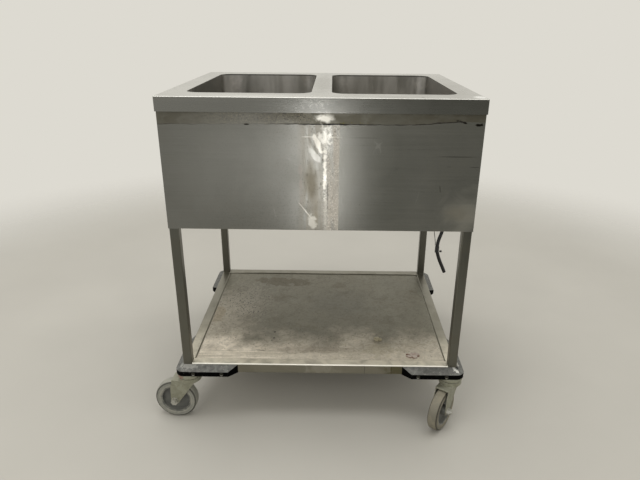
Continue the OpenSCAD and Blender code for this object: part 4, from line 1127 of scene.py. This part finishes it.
class Workshop:
    """The frame, the finishes and the book of pieces that every sub-assembly works with."""

    def __init__(self, frame: dict) -> None:
        """Keeps the frame and makes the materials."""
        self.nodes = frame["nodes"]
        self.slots = {part["node"]: part["material_slot"] for part in frame["record"]["subparts"]}
        effects = Effects()
        self.materials = {finish.name: finish.material(effects) for finish in FINISHES}
        self.replaced: set[str] = set()

    def dress(self, piece: Piece, finish: str) -> None:
        """Gives an object one of the finishes, as its only material."""
        piece.data.materials.clear()
        piece.data.materials.append(self.materials[finish])

    def place(self, piece: Piece, node: str, finish: str = "") -> None:
        """Puts a new piece in the place of a node, in its slot's finish if no other is named."""
        slot = self.slots[node]
        self.dress(piece, finish or slot)
        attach(piece, self.nodes[node]["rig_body"])
        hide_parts(node)
        self.replaced.add(node)
        log.info("piece %s stands for %s", piece.name, node)

    def add_on(self, piece: Piece, body: str, finish: str) -> None:
        """Gives a small extra piece its material and its body."""
        self.dress(piece, finish)
        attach(piece, body)
        log.info("piece %s added on %s", piece.name, body)

    def rework(
        self,
        node: str,
        name: str,
        width: float,
        segments: int = 2,
        finish: str = "",
        bend: float = 0.0,
        bent: Test | None = None,
    ) -> None:
        """Copies a node, merges its triangles, rounds its edges, and puts the copy in its place.

        Args:
            node: The CAD node.
            name: The new piece's name.
            width: The edge rounding, in millimetres.
            segments: The number of faces across a round.
            finish: The finish, where it isn't that of the node's slot.
            bend: The radius of the tube's own bends, in millimetres.
            bent: The test for an edge that is such a bend.
        """
        copy = bpy.data.objects.new(name, self.nodes[node].data.copy())
        bpy.context.collection.objects.link(copy)
        take(copy)
        bpy.ops.mesh.customdata_custom_splitnormals_clear()
        open_mesh(copy)
        bpy.ops.mesh.remove_doubles(threshold=2e-6)
        bpy.ops.mesh.dissolve_limited(angle_limit=math.radians(0.4))
        if bent:
            round_edges(copy, bent, bend * MM, 4)
        close_mesh()
        soften(copy, width * MM, segments)
        self.place(settle(copy, name), node, finish)

    def rework_each(self, rows: Sequence[Row]) -> None:
        """Reworks the node of each row."""
        for row in rows:
            self.rework(*row)

    def dress_rest(self) -> None:
        """Gives each CAD node that still shows the material of its slot."""
        for name, node in self.nodes.items():
            if name not in self.replaced:
                self.dress(node, self.slots[name])
                log.info("node %s keeps its own shape", name)


@dataclass(frozen=True)
class Lamp:
    """One soft lamp: where it hangs, the point that it faces, its width and height, and its power."""

    name: str
    place: Point
    aim: Point
    size: tuple[float, float]
    watts: float

    def hang(self) -> None:
        """Hangs the lamp."""
        rest()
        bpy.ops.object.light_add(type="AREA")
        lamp = bpy.context.object
        lamp.name = self.name
        lamp.data.shape = "RECTANGLE"
        lamp.data.size, lamp.data.size_y = self.size
        lamp.data.energy = self.watts
        turn = (Vector(self.aim) - Vector(self.place)).to_track_quat("-Z", "Y").to_matrix().to_4x4()
        lamp.matrix_world = Matrix.Translation(self.place) @ turn
        lamp.visible_camera = False


@dataclass
class Studio:
    """The camera of the photograph, a plain pale floor and soft light."""

    eye: Point = (0.02802, -1.64999, 1.11785)
    yaw: float = -0.3908
    pitch: float = 21.9404
    roll: float = 0.5268
    lens: float = 30.5406
    sensor: float = 36.0
    shift: float = -0.01178
    floor_radius: float = 3.0
    floor_fade: tuple[float, float] = (1.5, 2.9)
    floor_stretch: float = 1.7
    floor_tone: Colour = (186, 183, 175)
    wall_tone: Colour = (221, 218, 209)
    lamps: tuple[Lamp, ...] = (
        Lamp("overhead", (-0.1, -0.2, 3.0), (-0.1, -0.1, 0.0), (2.6, 2.0), 42.0),
        Lamp("strip", (-0.018, -0.925, 0.625), (-0.018, 0.0, 0.625), (0.056, 0.45), 0.68),
        Lamp("fill", (-1.5, -2.4, 1.9), (0.0, -0.2, 0.4), (1.2, 1.2), 7.0),
    )

    def camera(self) -> None:
        """Makes the camera and puts it at the photograph's place."""
        yaw, pitch, roll = (math.radians(a) for a in (self.yaw, self.pitch, self.roll))
        level = math.cos(pitch)
        ahead = Vector((math.sin(yaw) * level, math.cos(yaw) * level, -math.sin(pitch)))
        side = Vector((math.cos(yaw), -math.sin(yaw), 0.0))
        up = side.cross(ahead)
        right = side * math.cos(roll) + up * math.sin(roll)
        top = up * math.cos(roll) - side * math.sin(roll)
        rest()
        bpy.ops.object.camera_add()
        camera = bpy.context.object
        camera.name = "photo_camera"
        turn = Matrix((right, top, -ahead)).transposed().to_4x4()
        camera.matrix_world = Matrix.Translation(self.eye) @ turn
        camera.data.lens = self.lens
        camera.data.sensor_width = self.sensor
        camera.data.shift_x = self.shift
        bpy.context.scene.camera = camera

    def floor(self) -> None:
        """Lays the floor, which fades into the backdrop."""
        rest()
        bpy.ops.mesh.primitive_circle_add(vertices=96, radius=self.floor_radius, fill_type="NGON")
        floor = settle(bpy.context.object, "studio_floor")
        made = bpy.data.materials.new("studio_floor")
        made.use_nodes = True
        tree = Tree(made.node_tree)
        shader = made.node_tree.nodes["Principled BSDF"]
        out = made.node_tree.nodes["Material Output"]
        place = tree.add("TexCoord").outputs["Object"]
        clouds = tree.noise(place, 2.5, 5.0)
        tone = linear(self.floor_tone)
        darker = tuple(channel * 0.94 for channel in tone)
        tree.feed(shader.inputs["Base Color"], tree.mix(clouds, tone, darker))
        shader.inputs["Roughness"].default_value = 0.75
        clear = tree.add("BsdfTransparent")
        x, y, _ = tree.split(place)
        near = tree.math("MAXIMUM", y, tree.times(y, -self.floor_stretch))
        far = tree.length(tree.add("CombineXYZ", {0: x, 1: near}).outputs[0])
        share = tree.step(far, *self.floor_fade)
        mixed = tree.add("MixShader", {0: share, 1: shader.outputs[0], 2: clear.outputs[0]})
        tree.feed(out.inputs["Surface"], mixed.outputs[0])
        floor.data.materials.append(made)

    def world(self) -> None:
        """Sets the backdrop: pale behind and above, and greyer low in front of the trolley."""
        world = bpy.data.worlds.new("studio")
        bpy.context.scene.world = world
        world.use_nodes = True
        tree = Tree(world.node_tree)
        x, y, z = tree.split(tree.add("TexCoord").outputs["Generated"])
        low_front = tree.mix(tree.step(x, -0.15, 0.1), linear((178, 177, 171)), linear((140, 140, 133)))
        front = tree.mix(tree.step(z, 0.0, 0.35), low_front, linear((208, 206, 199)))
        behind = tree.mix(tree.step(z, 0.05, 0.35), linear(self.wall_tone), linear((240, 238, 232)))
        back = world.node_tree.nodes["Background"]
        tree.feed(back.inputs["Color"], tree.mix(tree.fade(y, -0.55, 0.15), behind, front))
        back.inputs["Strength"].default_value = 1.0

    def build(self) -> None:
        """Makes the floor, the backdrop and the lamps."""
        self.floor()
        self.world()
        for lamp in self.lamps:
            lamp.hang()
        bpy.context.scene.view_settings.view_transform = "Standard"
        log.info("studio ready")


@dataclass
class Cord:
    """The short cut cord with its gland, its tie and the wire that holds it up."""

    gland: Point = (0.372, -0.04, 0.5742)
    diameter: float = 0.011
    wire: float = 0.002
    # Millimetres from the gland.
    route: tuple[Point, ...] = (
        (0, 0, 0), (0, 0, -16), (2, 0, -31), (6, 0, -46), (8, 0, -60), (7, 0, -74), (3, 0, -88),
        (-1, 0, -103), (-3, 0, -118), (-3, 1, -133), (0, 2, -148), (5, 3, -163), (11, 4, -178),
        (18, 5, -193), (24, 5, -206), (28, 5, -215),
    )
    tie_at: Point = (0.369, -0.039, 0.4412)
    tie_end: Point = (0.012, 0.0, -0.00675)

    def curve(self, name: str, points: Sequence[Point], diameter: float) -> Piece:
        """Makes a round line through points, as one open spline."""
        data = bpy.data.curves.new(name, "CURVE")
        data.dimensions = "3D"
        spline = data.splines.new("BEZIER")
        spline.bezier_points.add(len(points) - 1)
        for knot, point in zip(spline.bezier_points, points):
            knot.co = point
            knot.handle_left_type = knot.handle_right_type = "AUTO"
        data.bevel_depth = diameter / 2
        data.bevel_resolution = 6
        data.resolution_u = 6
        data.use_fill_caps = True
        piece = bpy.data.objects.new(name, data)
        bpy.context.collection.objects.link(piece)
        return piece

    def tie(self) -> Piece:
        """Makes the tie: tape wound round the cord, with a twisted end."""
        wraps = []
        for k in range(4):
            low = -10.4 + 5.2 * k
            wraps += [(5.9, low), (6.6, low + 1.0), (6.8, low + 2.6), (6.6, low + 4.2)]
        profile = [(5.4, -10.5), *wraps, (5.9, 10.4), (5.4, 10.5), (5.4, -10.5)]
        tape = turn_profile("tie_tape", profile, 32, Matrix.Translation(self.tie_at))
        bead = [(0, -4), (2.2, -3.6), (3.6, -1.8), (3.2, -0.3), (3.8, 1.4), (2.4, 3.4), (0, 4)]
        at = Matrix.Translation(Vector(self.tie_at) + Vector(self.tie_end))
        end = turn_profile("tie_end", bead, 20, at @ Axis.X.matrix())
        return smooth(join("cord_tie", [tape, end]), 50.0)

    def build(self, shop: Workshop) -> None:
        """Makes the cord, the tie, the wire and the gland."""
        points = [tuple(g + o * MM for g, o in zip(self.gland, offset)) for offset in self.route]
        cord = self.curve("supply_cord", points, self.diameter)
        shop.place(cord, "mains_cord")
        tie = self.tie()
        shop.place(tie, "cable_tie")
        x, y, z = self.tie_at
        x -= self.diameter / 2 + 1.5 * MM
        wire = [(0.336, -0.04, 0.6122), (0.336, -0.04, 0.6042), (x, y, z + 0.0215), (x, y, z + 0.0135)]
        shop.place(self.curve("holding_wire", wire, self.wire), "hanger_wire")
        shop.rework("cable_gland", "gland_body", 0.6)


@dataclass
class Deck:
    """The folded deck sheet with its two openings, and the wells welded under them."""

    width: float = 0.8
    depth: float = 0.665
    top: float = 0.95
    sheet: float = 0.0015
    apron: float = 0.036
    fold: float = 0.002
    lip: float = 0.0007
    rim: float = 0.02
    beyond: float = 0.01
    body_width: float = 0.797
    body_depth: float = 0.649
    well_width: float = 0.32
    well_depth: float = 0.52
    well_radius: float = 0.038
    well_floor: float = 0.75
    well_sheet: float = 0.001
    well_x: float = 0.186
    well_y: float = 0.0075
    flange: float = 0.012
    floor_radius: float = 0.012
    drain_y: float = 0.2075
    drain_radius: float = 0.0163

    def opening(self, name: str, side: int, low: float, high: float) -> Piece:
        """A block with a well's outline, rounded at its four upright edges."""
        half_x, half_y = self.well_width / 2, self.well_depth / 2
        x, y = side * self.well_x, self.well_y
        block = add_block(name, (x - half_x, y - half_y, low), (x + half_x, y + half_y, high))
        open_mesh(block)
        round_edges(block, lambda a, b: abs(a.z - b.z) > NEAR, self.well_radius, 12)
        close_mesh()
        return block

    def deck_sheet(self) -> Piece:
        """The deck: a box with rounded folds, made a thin shell and cut open."""
        half_x, half_y = self.width / 2, self.depth / 2
        low = self.top - self.apron
        deck = add_block("deck_sheet", (-half_x, -half_y, low), (half_x, half_y, self.top))
        open_mesh(deck)
        round_edges(deck, lambda a, b: max(a.z, b.z) > self.top - CLOSE, self.fold, 4)
        close_mesh()
        thicken(deck, self.sheet)
        x, y = self.body_width / 2, self.body_depth / 2
        body = add_block("cutter", (-x, -y, low - self.beyond), (x, y, low + self.beyond))
        span = (self.top - self.beyond, self.top + self.beyond)
        cut(deck, body, *(self.opening("cutter", side, *span) for side, _ in SIDES))

        def lip(a: Vector, b: Vector) -> bool:
            """True for an edge of an opening, at the deck's top."""
            inside = max(abs(a.x), abs(b.x)) < half_x - self.rim
            inside = inside and max(abs(a.y), abs(b.y)) < half_y - self.rim
            return inside and min(a.z, b.z) > self.top - NEAR

        open_mesh(deck)
        round_edges(deck, lip, self.lip, 2)
        close_mesh()
        return smooth(deck)

    def well(self, side: int, name: str) -> Piece:
        """One well: a drawn box with rounded corners and a flange, as one sheet."""
        under = self.top - self.sheet
        x = side * self.well_x
        well = self.opening(name, side, self.well_floor, under)
        open_mesh(well)
        floor = self.well_floor + NEAR
        round_edges(well, lambda a, b: max(a.z, b.z) < floor, self.floor_radius, 4)
        pick(well, lambda middle, _: middle.z > under - CLOSE, faces=True)
        bpy.ops.mesh.delete(type="FACE")
        pick(well, lambda a, b: min(a.z, b.z) > under - self.well_sheet)
        bpy.ops.mesh.extrude_region_move()
        grow_x = 1 + 2 * self.flange / self.well_width
        grow_y = 1 + 2 * self.flange / self.well_depth
        bpy.ops.transform.resize(
            value=(grow_x, grow_y, 1.0), center_override=(x, self.well_y, under)
        )
        close_mesh(outward=True)
        face_towards(well, Vector((0, 0, 1)))
        thicken(well, self.well_sheet)
        drain = (x, self.drain_y, self.well_floor)
        cut(well, add_cutter(drain, self.drain_radius, 2 * self.beyond))
        return smooth(well)

    def build(self, shop: Workshop) -> None:
        """Makes the deck, both wells and the strainers."""
        shop.place(self.deck_sheet(), "top_deck")
        for side, word in SIDES:
            shop.place(self.well(side, "well_basin_" + word), "well_" + word)
        shop.rework("drain_fittings", "well_strainers", 0.4)


@dataclass
class Body:
    """The panels that close the body, with folded lower edges."""

    half_x: float = 0.3985
    half_y: float = 0.3245
    low: float = 0.611
    high: float = 0.9485
    sheet: float = 0.0012
    flange: float = 0.0112
    fold: float = 0.0016
    leg_in_x: float = 0.3717
    leg_in_y: float = 0.2977

    def folded(self, name: str, along_x: bool, side: int) -> Piece:
        """One panel: a plane with its lower edge folded in between the legs, given its thickness.

        Args:
            name: The piece's name.
            along_x: True for the front or rear, False for an end.
            side: 1 or -1, for the side of the body.

        Returns:
            The new object.
        """
        half = self.half_x if along_x else self.half_y - self.sheet
        inner = self.leg_in_x if along_x else self.leg_in_y
        out = side * (self.half_y if along_x else self.half_x)
        middle = (self.low + self.high) / 2
        tall = self.high - self.low
        along, across = (0, 1) if along_x else (1, 0)

        def spot(u: float, z: float) -> Vector:
            """A point of the panel's outer face."""
            return Vector((u, out, z) if along_x else (out, u, z))

        def hem(a: Vector, b: Vector) -> bool:
            """True for an edge at the bottom, between the legs."""
            inside = max(abs(a[along]), abs(b[along])) < inner + CLOSE
            return inside and max(a.z, b.z) < self.low + NEAR

        def crease(a: Vector, b: Vector) -> bool:
            """True for such an edge in the outer face."""
            return hem(a, b) and min(abs(a[across]), abs(b[across])) > abs(out) - NEAR

        rest()
        bpy.ops.mesh.primitive_plane_add(size=1.0)
        panel = bpy.context.object
        turn = (Axis.Y if along_x else Axis.X).matrix()
        scale = Matrix.Diagonal((2 * half, 1.0, tall, 1.0) if along_x else (1.0, 2 * half, tall, 1.0))
        panel.matrix_world = Matrix.Translation(spot(0.0, middle)) @ scale @ turn
        settle(panel, name)
        open_mesh(panel)
        way = Vector((1, 0, 0) if along_x else (0, 1, 0))
        for u in (-inner, inner):
            bpy.ops.mesh.select_all(action="SELECT")
            bpy.ops.mesh.bisect(plane_co=spot(u, middle), plane_no=way)
        pick(panel, hem)
        inward = -spot(0.0, 0.0).normalized() * self.flange
        bpy.ops.mesh.extrude_region_move(TRANSFORM_OT_translate={"value": inward})
        round_edges(panel, crease, self.fold, 3)
        close_mesh(outward=True)
        face_towards(panel, spot(0.0, 0.0))
        thicken(panel, self.sheet)
        return smooth(panel)

    def build(self, shop: Workshop) -> None:
        """Makes the four panels and the bottom plate."""
        shop.place(self.folded("front_sheet", True, -1), "front_panel", "front_sheet")
        for side, word in SIDES:
            panel = self.folded("end_sheet_" + word, False, side)
            shop.place(panel, "end_panel_" + word, "end_sheet")
        shop.rework("rear_panel", "rear_sheet", 0.4)
        shop.rework("bottom_plate", "bottom_sheet", 0.3, finish="dull_sheet")


@dataclass
class Underframe:
    """Legs, shelf and corner bumpers."""

    frame_x: float = 0.397
    frame_y: float = 0.323
    bumper_out: float = 0.022
    screw_z: float = 0.1695
    screws_from_corner: tuple[float, ...] = (0.053, 0.135)
    socket: float = 0.0026
    socket_depth: float = 0.0018
    rail_low: float = 0.162
    rail_top: float = 0.192
    tube_bend: float = 2.6
    long_edge: float = 0.1

    def tube_bends(self, axis: int) -> Test:
        """The test for the long outer edges of the rails that run along X (0) or Y (1)."""
        outer = (self.frame_y if axis == 0 else self.frame_x) - CLOSE

        def bent(a: Vector, b: Vector) -> bool:
            """True for a long edge on top, or at the bottom outside."""
            if abs(a[axis] - b[axis]) < self.long_edge:
                return False
            outside = min(abs(a[1 - axis]), abs(b[1 - axis])) > outer
            low = outside and max(a.z, b.z) < self.rail_low + CLOSE
            return low or min(a.z, b.z) > self.rail_top - CLOSE

        return bent

    def screw(self) -> Piece:
        """One bumper screw: a round head with a hexagon socket, and its shank, along Z."""
        head = [(0, -26.5), (2.2, -26.5), (2.5, -26), (2.5, -3), (5.3, -3), (5.5, -2.7), (5.5, -1.4)]
        dome = [(5.2, -0.7), (4.4, -0.25), (3.4, -0.05), (0, 0)]
        screw = turn_profile("bumper_screw", head + dome, 28, Matrix.Identity(4))
        cut(screw, add_cutter((0.0, 0.0, 0.0), self.socket, 2 * self.socket_depth, 6))
        return screw

    def screw_places(self) -> list[tuple[Point, Point]]:
        """The place and the direction of every bumper screw, two on each arm of each bumper."""
        places = []
        for x in (-1, 1):
            for y in (-1, 1):
                for far in self.screws_from_corner:
                    along = far - self.bumper_out
                    on_y = (x * (self.frame_x - along), y * (self.frame_y + self.bumper_out))
                    on_x = (x * (self.frame_x + self.bumper_out), y * (self.frame_y - along))
                    places.append(((*on_y, self.screw_z), (0.0, y, 0.0)))
                    places.append(((*on_x, self.screw_z), (x, 0.0, 0.0)))
        return places

    def screws(self) -> Piece:
        """Every bumper screw, as one piece."""
        first = self.screw()
        made = []
        for place, way in self.screw_places():
            turn = Vector((0, 0, 1)).rotation_difference(Vector(way)).to_matrix().to_4x4()
            copy = first.copy()
            copy.data = first.data.copy()
            bpy.context.collection.objects.link(copy)
            copy.matrix_world = Matrix.Translation(place) @ turn
            made.append(copy)
        bpy.data.objects.remove(first)
        return smooth(join("bumper_fixings", made), 40.0)

    def lump(self, name: str, at: Point, size: Point, seed: float) -> Piece:
        """One uneven lump with a flat underside."""
        rest()
        bpy.ops.mesh.primitive_ico_sphere_add(subdivisions=4, radius=1.0)
        lump = bpy.context.object
        for vertex in lump.data.vertices:
            x, y, z = vertex.co
            bulge = 1 + 0.22 * math.sin(3.1 * x + seed) + 0.18 * math.sin(5.3 * y - seed + 2 * x)
            bulge += 0.12 * math.sin(11 * x + 7 * y + seed)
            vertex.co = (x * size[0] * bulge, y * size[1] * bulge, max(0.0, z) * size[2] * bulge)
        lump.location = at
        settle(lump, name)
        open_mesh(lump)
        bpy.ops.mesh.remove_doubles(threshold=1e-6)
        close_mesh(outward=True)
        return smooth(lump, 60.0)

    def build(self, shop: Workshop) -> None:
        """Makes the legs, rails, shelf, bumpers, screws and what lies on the shelf."""
        for name in ("front_left", "front_right", "rear_left", "rear_right"):
            shop.rework("leg_" + name, "leg_tube_" + name, 0.0)
        for node, name, finish, axis in (
            ("shelf_long_rails", "rails_front_rear", "rail_steel", 0),
            ("shelf_side_rails", "rails_sides", "side_rail", 1),
        ):
            bent = self.tube_bends(axis)
            shop.rework(node, name, 0.8, finish=finish, bend=self.tube_bend, bent=bent)
        shop.rework("shelf_panel", "shelf_sheet", 0.5)
        shop.rework("corner_bumpers", "bumper_blocks", 1.4, 3)
        shop.place(self.screws(), "bumper_screws")
        for name, x, y, size, seed in (
            ("shelf_crust", 0.275, -0.267, (0.019, 0.011, 0.008), 0.0),
            ("shelf_crumb", 0.18, -0.181, (0.012, 0.008, 0.009), 3.0),
        ):
            shop.add_on(self.lump(name, (x, y, SHELF_Z), size, seed), "trolley", name)


@dataclass
class Castors:
    """Four swivel castors: pressed heads and forks, turned wheels and tyres."""

    leg_x: float = 0.3845
    leg_y: float = 0.3105
    trail: float = 0.046
    wheel_radius: float = 0.0625
    steps: int = 96
    worn_tyre: tuple[float, float] = (0.0455, 0.0504)
    # The tyres' outer shoulders, between these radii, take painted shade.
    painted_shade_tyre: tuple[float, float] = (0.057, 0.0609)
    worn_rim: tuple[float, float, float] = (0.0412, 0.0455, 0.0128)
    angles: tuple[tuple[str, int, int, float], ...] = (
        ("front_left", -1, -1, 176.0),
        ("front_right", 1, -1, -126.0),
        ("rear_left", -1, 1, 72.0),
        ("rear_right", 1, 1, 104.0),
    )

    def wheel_place(self, side_x: int, side_y: int, angle: float) -> Matrix:
        """Where a wheel's middle is, with its axle along Z before this."""
        corner = Matrix.Translation((side_x * self.leg_x, side_y * self.leg_y, 0.0))
        swivel = Matrix.Rotation(math.radians(angle), 4, "Z")
        axle = Matrix.Translation((self.trail, 0.0, self.wheel_radius))
        return corner @ swivel @ axle @ Matrix.Rotation(math.radians(90.0), 4, "X")

    def tyre(self, name: str, place: Matrix) -> Piece:
        """One tyre, with round shoulders, a ridge by the rim and a shallow groove outside it."""
        half = [(45.5, -14.0), (46.6, -14.0), (47.4, -14.8), (48.6, -15.0), (50.4, -15.0), (51.2, -14.4)]
        half += [(53.4, -14.2), (54.4, -14.8), (55.5, -15.0)]
        for k in range(1, 8):
            angle = math.radians(-90.0 + 90.0 * k / 7)
            half.append((55.5 + 7.0 * math.cos(angle), -8.0 + 7.0 * math.sin(angle)))
        tyre = turn_profile(name, mirrored(half, (62.5, 0.0)), self.steps, place)
        mark_ring(tyre, "worn_edge", place, *self.worn_tyre)
        mark_ring(tyre, "painted_shade_edge", place, *self.painted_shade_tyre)
        return smooth(tyre, 40.0)

    def wheel(self, name: str, place: Matrix) -> Piece:
        """One wheel centre: hub, dished web and rim."""
        half = [(6.05, -18.2), (13.0, -18.2), (14.4, -17.8), (15.0, -16.4), (15.0, -5.5), (15.8, -4.1)]
        half += [(17.2, -3.5), (38.4, -3.5), (39.8, -4.2), (40.4, -5.6), (41.3, -12.4), (41.9, -13.6)]
        half += [(43.0, -14.0), (45.0, -14.0), (45.5, -13.5)]
        wheel = turn_profile(name, mirrored(half), self.steps, place)
        mark_ring(wheel, "worn_edge", place, *self.worn_rim)
        return smooth(wheel, 40.0)

    def build(self, shop: Workshop) -> None:
        """Makes the four castors."""
        for name, side_x, side_y, angle in self.angles:
            place = self.wheel_place(side_x, side_y, angle)
            finish = "tyre_pale" if name == "front_right" else ""
            shop.place(self.tyre("tread_" + name, place), "tyre_" + name, finish)
            shop.place(self.wheel("wheel_centre_" + name, place), "wheel_" + name)
            shop.rework("fork_" + name, "fork_pressing_" + name, 0.7)
            shop.rework("axle_" + name, "axle_bolt_" + name, 0.5, finish="axle_zinc")
            if side_y > 0:
                shop.rework("pedal_" + name, "brake_pedal_" + name, 1.0)
        shop.rework("swivel_heads", "swivel_domes", 0.6)


@dataclass
class Drains:
    """Pipes, ball valves and levers under the wells."""

    pieces: tuple[Row, ...] = (
        ("drain_pipes", "drain_tubes", 0.3),
        ("valve_bodies", "valve_castings", 0.8),
        ("valve_ball_left", "valve_core_left", 0.3),
        ("valve_lever_left", "valve_handle_left", 0.9),
        ("valve_ball_right", "valve_core_right", 0.3),
        ("valve_lever_right", "valve_handle_right", 0.9),
    )

    def build(self, shop: Workshop) -> None:
        """Reworks each drain piece."""
        shop.rework_each(self.pieces)


@dataclass
class Controls:
    """The operator's side: plate, knobs, switch, lamps and what lies behind them."""

    plate_face: float = 0.3255
    height: float = 0.68
    knob_x: float = 0.122
    knob_gap: float = 0.0008
    knob_tall: float = 0.018
    # The lowest and the highest corner, from the knob's foot and from the middle of its bar's face.
    grip: tuple[Point, Point] = ((-0.0035, 0.004, -0.02), (0.0035, 0.018, 0.02))
    pointer: tuple[Point, Point] = ((-0.0007, -0.0004, 0.004), (0.0007, 0.0002, 0.019))
    tick_radius: float = 0.0265
    tick: tuple[float, float] = (0.00006, 0.0004)
    tick_long: float = 0.0022
    tick_short: float = 0.0014
    pieces: tuple[Row, ...] = (
        ("control_plate", "control_sheet", 0.3),
        ("switch_body", "switch_bezel", 0.6),
        ("rocker", "switch_rocker", 0.4),
        ("pilot_lamps", "lamp_lenses", 0.5),
        ("thermostats", "thermostat_bodies", 0.6),
        ("terminal_box", "terminal_cover", 1.0),
        ("heating_elements", "element_tubes", 0.0),
        ("element_clamps", "clamp_strips", 0.3),
    )

    def block(self, name: str, x: float, out: float, box: tuple[Point, Point]) -> Piece:
        """A block on a knob, given by its corners from a point at a distance from the plate."""
        at = (x, self.plate_face + out, self.height)
        low, high = ([a + b for a, b in zip(at, corner)] for corner in box)
        return add_block(name, low, high)

    def knob(self, x: float, name: str) -> Piece:
        """One knob: a skirt and a body turned as one, with a grip bar across."""
        skirt = [(0, 0), (20.6, 0), (21, 0.4), (21, 4.6), (20, 5.7), (18.2, 6.2), (17.3, 7.2)]
        top = [(16.6, 15.2), (16.0, 16.5), (14.6, 17.0), (0, 17.0)]
        at = Matrix.Translation((x, self.plate_face + self.knob_gap, self.height))
        base = soften(turn_profile(name, skirt + top, 56, at @ Axis.Y.matrix()), 0.0)
        bar = soften(self.block("grip", x, self.knob_gap, self.grip), 1.2 * MM, 3)
        return join(name, [base, bar])

    def marks(self, x: float, name: str) -> Piece:
        """The dial's marks round one knob, over 270 degrees."""
        made = []
        thick, wide = self.tick
        for k in range(10):
            angle = math.radians(90.0 + 30.0 * k)
            along = x + self.tick_radius * math.cos(angle)
            up = self.height + self.tick_radius * math.sin(angle)
            long = self.tick_short if k % 3 else self.tick_long
            tick = add_block("tick", (-long, -thick, -wide), (long, thick, wide))
            at = Matrix.Translation((along, self.plate_face + thick, up))
            tick.matrix_world = at @ Matrix.Rotation(-angle, 4, "Y")
            made.append(settle(tick, "tick"))
        return join(name, made)

    def build(self, shop: Workshop) -> None:
        """Makes the controls."""
        shop.rework_each(self.pieces)
        face = self.knob_gap + self.knob_tall
        for side, word in SIDES:
            x = side * self.knob_x
            shop.place(self.knob(x, "dial_" + word), "knob_" + word)
            line = self.block("pointer_" + word, x, face, self.pointer)
            shop.add_on(soften(line, 0.1 * MM), "knob_" + word, "paint_white")
            shop.add_on(self.marks(x, "dial_marks_" + word), "trolley", "paint_black")


def main() -> None:
    """Loads the frame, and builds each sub-assembly round it."""
    logging.basicConfig(level=logging.INFO, format="%(name)s: %(message)s")
    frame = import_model()
    studio = Studio()
    studio.camera()
    shop = Workshop(frame)
    Cord().build(shop)
    studio.build()
    for part in (Deck(), Body(), Underframe(), Castors(), Drains(), Controls()):
        part.build(shop)
        log.info("%s finished", type(part).__name__)
    shop.dress_rest()
    rest()


if __name__ == "__main__":
    main()
